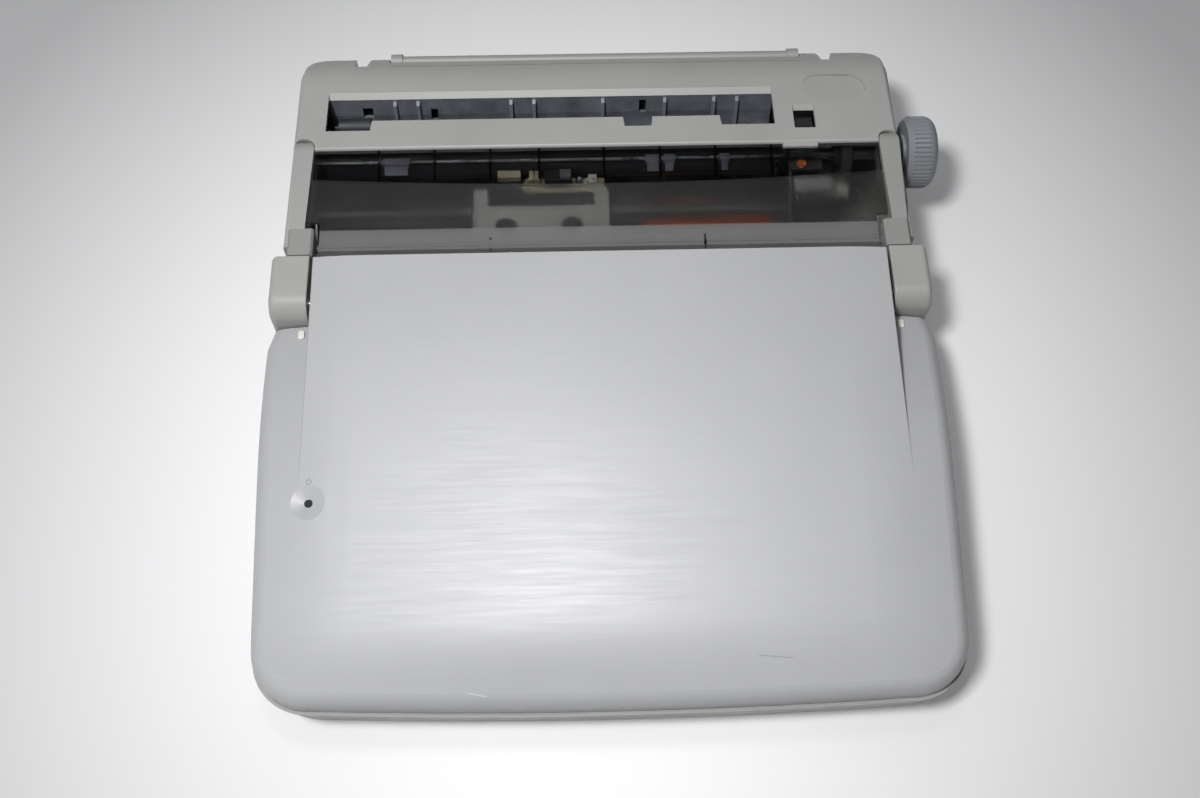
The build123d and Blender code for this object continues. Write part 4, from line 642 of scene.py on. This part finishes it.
def add_outline(bm, points, x_low, x_high):
    """A plate of that outline in the Y-Z plane, in millimetres, between two X values."""
    near = [bm.verts.new(place(x_low, y, z)) for y, z in points]
    far = [bm.verts.new(place(x_high, y, z)) for y, z in points]
    bm.faces.new(list(reversed(near)))
    bm.faces.new(far)
    for index in range(len(points)):
        after = (index + 1) % len(points)
        bm.faces.new((near[index], near[after], far[after], far[index]))


def add_print(bm, text, size, at, across=(1.0, 0.0, 0.0), up=(0.0, 1.0, 0.0)):
    """Flat lettering in Blender's own font, centred on a point given in millimetres."""
    curve = bpy.data.curves.new("lettering", "FONT")
    curve.body = text
    curve.size = size / 1000
    curve.align_x = "CENTER"
    curve.align_y = "CENTER"
    curve.offset = size / 1000 * 0.012
    carrier = bpy.data.objects.new("lettering", curve)
    flat = bpy.data.meshes.new_from_object(carrier)
    across, up = Vector(across).normalized(), Vector(up).normalized()
    turn = Matrix((across, up, across.cross(up))).transposed().to_4x4()
    flat.transform(Matrix.Translation(place(*at)) @ turn)
    bm.from_mesh(flat)
    bpy.data.meshes.remove(flat)
    bpy.data.objects.remove(carrier)
    bpy.data.curves.remove(curve)


def row_middles(widths):
    """X of the middle of each key of a row, in millimetres; widths are in key pitches."""
    x = KEYS_LEFT
    middles = []
    for width in widths:
        middles.append(x + width * KEY_PITCH / 2)
        x += width * KEY_PITCH
    return middles


def key_legends():
    """Letters and numbers printed on the key tops; each row's print rides on that row.

    A row is the widths of its keys, the Y of their middles, and one sign for each key.
    """
    rows = {
        "number_row": ([1.0] * 14 + [1.5], -52.0, " 1234567890-^  "),
        "letter_row": ([1.5] + [1.0] * 12 + [2.0], -71.0, " QWERTYUIOP@[ "),
        "home_row": ([1.75] + [1.0] * 12 + [1.75], -90.0, " ASDFGHJKL;:] "),
        "shift_row": ([2.25] + [1.0] * 10 + [1.25, 1.0, 1.0], -109.0, " ZXCVBNM,./   "),
    }
    for body, (widths, y, signs) in rows.items():
        bm = bmesh.new()
        for x, sign in zip(row_middles(widths), signs):
            if sign != " ":
                add_print(bm, sign, 5.2, (x - 2.6, y + 2.6, LEGEND_Z))
        finish_piece(body + "_print", bm, LEGEND, body)
    bm = bmesh.new()
    for index, x in enumerate(row_middles([0.97] * 16)):
        if index < 10:
            add_print(bm, "F" + str(index + 1), 3.2, (x, -26.6, LEGEND_Z))
    finish_piece("function_row_print", bm, LEGEND_PALE, "function_row")


def power_sign():
    """The usual power pictogram, printed small on the lid behind the lamp."""
    bm = bmesh.new()
    x, y = -152.9, -48.2
    steps = 28
    start, sweep = 128, 284  # degrees
    inner, outer = [], []
    for step in range(steps + 1):
        angle = math.radians(start + sweep * step / steps)
        for ring, radius in ((inner, 1.18), (outer, 1.5)):
            ring.append(print_point(bm, x + radius * math.cos(angle), y + radius * math.sin(angle)))
    for step in range(steps):
        bm.faces.new((inner[step], outer[step], outer[step + 1], inner[step + 1]))
    half = 0.17
    low, high = y + 0.2, y + 1.9
    bar = ((x - half, low), (x + half, low), (x + half, high), (x - half, high))
    bm.faces.new([print_point(bm, *corner) for corner in bar])
    finish_piece("power_sign", bm, SIGN, "lid")


def print_point(bm, x, y):
    """A point just above the lid, where print lies."""
    return bm.verts.new(place(x, y, lid_height(x, y) + 0.05))


def lid_height(x, y):
    """Height of the lid's top surface where its sides are crowned, in millimetres."""
    rear_y, rear_z = LID_REAR
    crown = max(0.0, abs(x) - CROWN_START) ** 2 / (2 * CROWN_RADIUS)
    return rear_z - (rear_y - y) * math.tan(LID_FALL) - crown


def switch_print():
    """ON and OFF printed beside the power switch on the left wall."""
    bm = bmesh.new()
    wall_x, wall_y = LEFT_WALL
    lift = 0.04
    for text, y in (("ON", 216.6), ("OFF", 189.2)):
        x = wall_x + LEFT_WALL_LEAN * (y - wall_y) - lift
        add_print(bm, text, 4.2, (x, y, 47.0), (LEFT_WALL_LEAN, -1.0, 0.0), (0.0, 0.0, 1.0))
    finish_piece("switch_print", bm, SIGN, "case")


def carriage_fittings():
    """Small fittings on the carriage beside the print head, seen through the cover's clear strip."""
    bm = bmesh.new()
    add_block(bm, (-44.0, 138.5, 50.0), (4.0, 147.4, 52.4), 0.4)
    for x in (-38.6, -35.4):
        add_block(bm, (x - 1.3, 140.6, 52.0), (x + 1.3, 147.2, 60.6), 0.3)
    add_turned(bm, (-42.0, 143.0, 52.2), (0, 0, 1), ((0, 1.4), (2.2, 1.4), (2.6, 1.0), (2.6, 0.4)))
    finish_piece("ribbon_guide", bm, BEIGE, "carriage")
    bm = bmesh.new()
    add_block(bm, (-31.0, 140.2, 52.3), (-15.0, 147.2, 60.8), 0.4)
    add_block(bm, (-29.0, 141.4, 60.4), (-24.0, 146.0, 61.6), 0.3)
    finish_piece("sensor_block", bm, BLACK, "carriage")
    bm = bmesh.new()
    add_outline(bm, ((141.0, 60.7), (146.8, 60.7), (146.8, 62.2), (146.0, 63.0), (141.0, 63.0)), -22.0, -15.6)
    add_turned(bm, (-19.0, 143.6, 62.9), (0, 0, 1), ((0, 1.3), (0.5, 1.3), (0.8, 0.9), (0.8, 0.2)))
    finish_piece("sensor_plate", bm, ZINC, "carriage")
    bm = bmesh.new()
    radius, steps = 2.5, 12
    angles = [math.pi * step / steps for step in range(steps + 1)]
    half_circle = [(-radius * math.cos(angle), max(0.02, radius * math.sin(angle))) for angle in angles]
    add_turned(bm, (-10.8, 143.6, 56.2), (0, 0, 1), half_circle)
    add_turned(bm, (-10.8, 143.6, 52.2), (0, 0, 1), ((0, 1.2), (2.4, 1.2), (2.6, 0.9)))
    finish_piece("ribbon_ball", bm, STEEL, "carriage")
    bm = bmesh.new()
    add_block(bm, (-5.6, 140.6, 52.2), (-0.6, 146.4, 57.6), 0.5)
    add_turned(bm, (-3.1, 143.5, 57.4), (0, 0, 1), ((0, 1.5), (1.0, 1.4), (1.3, 0.8)))
    finish_piece("ribbon_post", bm, WHITE, "carriage")


def paper_guides():
    """Thin steel bail across the platen's front, with its grey guide shoes."""
    bm = bmesh.new()
    add_turned(bm, (-163.4, 150.6, 66.0), (1, 0, 0), ((0, 0.5), (0.4, 0.9), (271.2, 0.9), (271.6, 0.5)), 16)
    finish_piece("bail_wire", bm, STEEL, "case")
    bm = bmesh.new()
    for low, high in ((-124.0, -108.5), (27.5, 36.5), (38.0, 45.0), (70.5, 76.5)):
        add_block(bm, (low, 147.6, 64.2), (high, 152.4, 67.6), 0.5)
        add_outline(bm, ((147.8, 67.0), (147.8, 64.4), (143.8, 62.9), (143.2, 63.5)), low + 1.2, high - 1.2)
    finish_piece("guide_shoes", bm, SHOE, "case")


def chute_shade_sheet():
    """Black sheet behind the openings of the paper chute, folded at its ends, put there as painted shade that
    darkens the openings.
    """
    bm = bmesh.new()
    add_outline(bm, ((193.4, 50.0), (194.0, 50.0), (194.0, 71.0), (193.4, 71.0)), -150.0, 100.0)
    for x in (-149.4, 99.4):
        add_block(bm, (x - 0.5, 193.4, 52.0), (x + 0.5, 197.0, 70.0), 0.15)
    finish_piece("chute_shade_sheet", bm, BLACK, "case")


key_legends()
power_sign()
switch_print()
carriage_fittings()
paper_guides()
chute_shade_sheet()


# ---------------------------------------------------------------- stage
def floor_tone_and_shade(nodes, links):
    """The sheet's colour, with a painted pool of light: brightest round the machine, greyer with the
    distance.
    """
    slow = noise(nodes, links, coordinates(nodes, links), 0.5, 2.0)
    near = mix_colour(nodes, links, remap(nodes, links, slow, 0.3, 0.7, 0.0, 1.0), *FLOOR_TONES)
    source = nodes.new("ShaderNodeTexCoord")
    shift = nodes.new("ShaderNodeMapping")
    middle_x, middle_y = FLOOR_MIDDLE
    shift.inputs["Location"].default_value = (-FLOOR_NARROWING * middle_x, -middle_y, 0.0)
    shift.inputs["Scale"].default_value = (FLOOR_NARROWING, 1.0, 1.0)
    links.new(source.outputs["Object"], shift.inputs["Vector"])
    length = nodes.new("ShaderNodeVectorMath")
    length.operation = "LENGTH"
    links.new(shift.outputs["Vector"], length.inputs[0])
    # painted shade: the tone fades to grey with the distance from the middle
    far = remap(nodes, links, length.outputs["Value"], *FLOOR_SHADE_FALL, 0.0, 1.0)
    return mix_colour(nodes, links, far, near, FLOOR_FAR_SHADE)


def studio_floor():
    """A wide pale sheet that the machine stands on."""
    mesh = bpy.data.meshes.new("studio_floor")
    corners = [(x * FLOOR_HALF, y * FLOOR_HALF, 0) for x, y in ((-1, -1), (1, -1), (1, 1), (-1, 1))]
    mesh.from_pydata(corners, [], [(0, 1, 2, 3)])
    floor = bpy.data.objects.new("studio_floor", mesh)
    bpy.context.scene.collection.objects.link(floor)
    material, nodes, links, shader = new_material("pale_floor")
    base = floor_tone_and_shade(nodes, links)
    # the camera, shiny and clear surfaces see the pale sheet; the machine is lit by it as by a greyer one
    path = nodes.new("ShaderNodeLightPath")
    seen = math_node(nodes, links, "MAXIMUM", path.outputs["Is Camera Ray"], path.outputs["Is Glossy Ray"])
    seen = math_node(nodes, links, "MAXIMUM", seen, path.outputs["Is Transmission Ray"])
    links.new(mix_colour(nodes, links, seen, FLOOR_BOUNCE, base), shader.inputs["Base Color"])
    shader.inputs["Roughness"].default_value = 0.5
    shader.inputs["Specular IOR Level"].default_value = 0.4
    glow = nodes.new("ShaderNodeEmission")
    links.new(base, glow.inputs["Color"])
    mix = nodes.new("ShaderNodeMixShader")
    links.new(math_node(nodes, links, "MULTIPLY", seen, FLOOR_GLOW), mix.inputs["Fac"])
    links.new(shader.outputs["BSDF"], mix.inputs[1])
    links.new(glow.outputs["Emission"], mix.inputs[2])
    links.new(mix.outputs["Shader"], nodes["Material Output"].inputs["Surface"])
    mesh.materials.append(material)


def area_light(name, at, target, size, power, colour):
    """A soft rectangular lamp aimed at a point."""
    data = bpy.data.lights.new(name, "AREA")
    data.shape = "RECTANGLE"
    data.size, data.size_y = size
    data.energy = power
    data.color = colour
    lamp = bpy.data.objects.new(name, data)
    lamp.location = at
    lamp.rotation_euler = (Vector(target) - Vector(at)).to_track_quat("-Z", "Y").to_euler()
    bpy.context.scene.collection.objects.link(lamp)
    return lamp


def room_light():
    """A room with a pale ceiling and dark walls, brighter towards the left and the rear."""
    world = bpy.data.worlds.new("surround")
    bpy.context.scene.world = world
    world.use_nodes = True
    nodes, links = world.node_tree.nodes, world.node_tree.links
    source = nodes.new("ShaderNodeTexCoord")
    axes = split_axes(nodes, links, source.outputs["Generated"])
    height = remap(nodes, links, axes["Z"], WORLD_LOW, WORLD_HIGH, 0.0, 1.0)
    walls, ceiling = scaled(WORLD_COLOUR, WORLD_WALL), scaled(WORLD_COLOUR, WORLD_CEILING)
    room = mix_colour(nodes, links, height, walls, ceiling)
    toward = nodes.new("ShaderNodeVectorMath")
    toward.operation = "DOT_PRODUCT"
    toward.inputs[1].default_value = WORLD_BRIGHT_WAY
    links.new(source.outputs["Generated"], toward.inputs[0])
    side = remap(nodes, links, toward.outputs["Value"], -1.0, 1.0, 1.0 - WORLD_SIDE, 1.0 + WORLD_SIDE)
    grey = nodes.new("ShaderNodeCombineXYZ")
    for socket in grey.inputs:
        links.new(side, socket)
    shade = nodes.new("ShaderNodeVectorMath")
    shade.operation = "MULTIPLY"
    links.new(room, shade.inputs[0])
    links.new(grey.outputs["Vector"], shade.inputs[1])
    links.new(shade.outputs["Vector"], nodes["Background"].inputs["Color"])
    nodes["Background"].inputs["Strength"].default_value = 1.0


def studio_lights():
    """A lamp above on the left, a second one that shows only as sheen, and the room."""
    overhead = area_light("overhead", LAMP_AT, LAMP_TARGET, LAMP_SIZE, LAMP_POWER, LAMP_COLOUR)
    overhead.visible_glossy = False
    sheen = area_light("ceiling_lamp", SHEEN_AT, SHEEN_TARGET, SHEEN_SIZE, SHEEN_POWER, SHEEN_COLOUR)
    sheen.visible_diffuse = False
    room_light()


def photo_camera():
    """The camera above and in front of the machine, looking steeply down."""
    down, yaw, roll = (math.radians(angle) for angle in (CAMERA_DOWN, CAMERA_YAW, CAMERA_ROLL))
    turn = Matrix.Rotation(yaw, 3, "Z")
    ahead = turn @ Vector((0.0, math.cos(down), -math.sin(down)))
    rise = turn @ Vector((0.0, math.sin(down), math.cos(down)))
    side = turn @ Vector((1.0, 0.0, 0.0))
    right = side * math.cos(roll) + rise * math.sin(roll)
    up = -side * math.sin(roll) + rise * math.cos(roll)
    rotation = Matrix((right, up, -ahead)).transposed()
    data = bpy.data.cameras.new("photo_camera")
    data.sensor_width = SENSOR_WIDTH
    data.lens = SENSOR_WIDTH * FOCAL_LENGTH
    data.clip_start = 0.01
    camera = bpy.data.objects.new("photo_camera", data)
    camera.matrix_world = Matrix.Translation(place(*CAMERA_AT)) @ rotation.to_4x4()
    bpy.context.scene.collection.objects.link(camera)
    bpy.context.scene.camera = camera


studio_floor()
studio_lights()
photo_camera()
bpy.context.scene.view_settings.view_transform = "Standard"
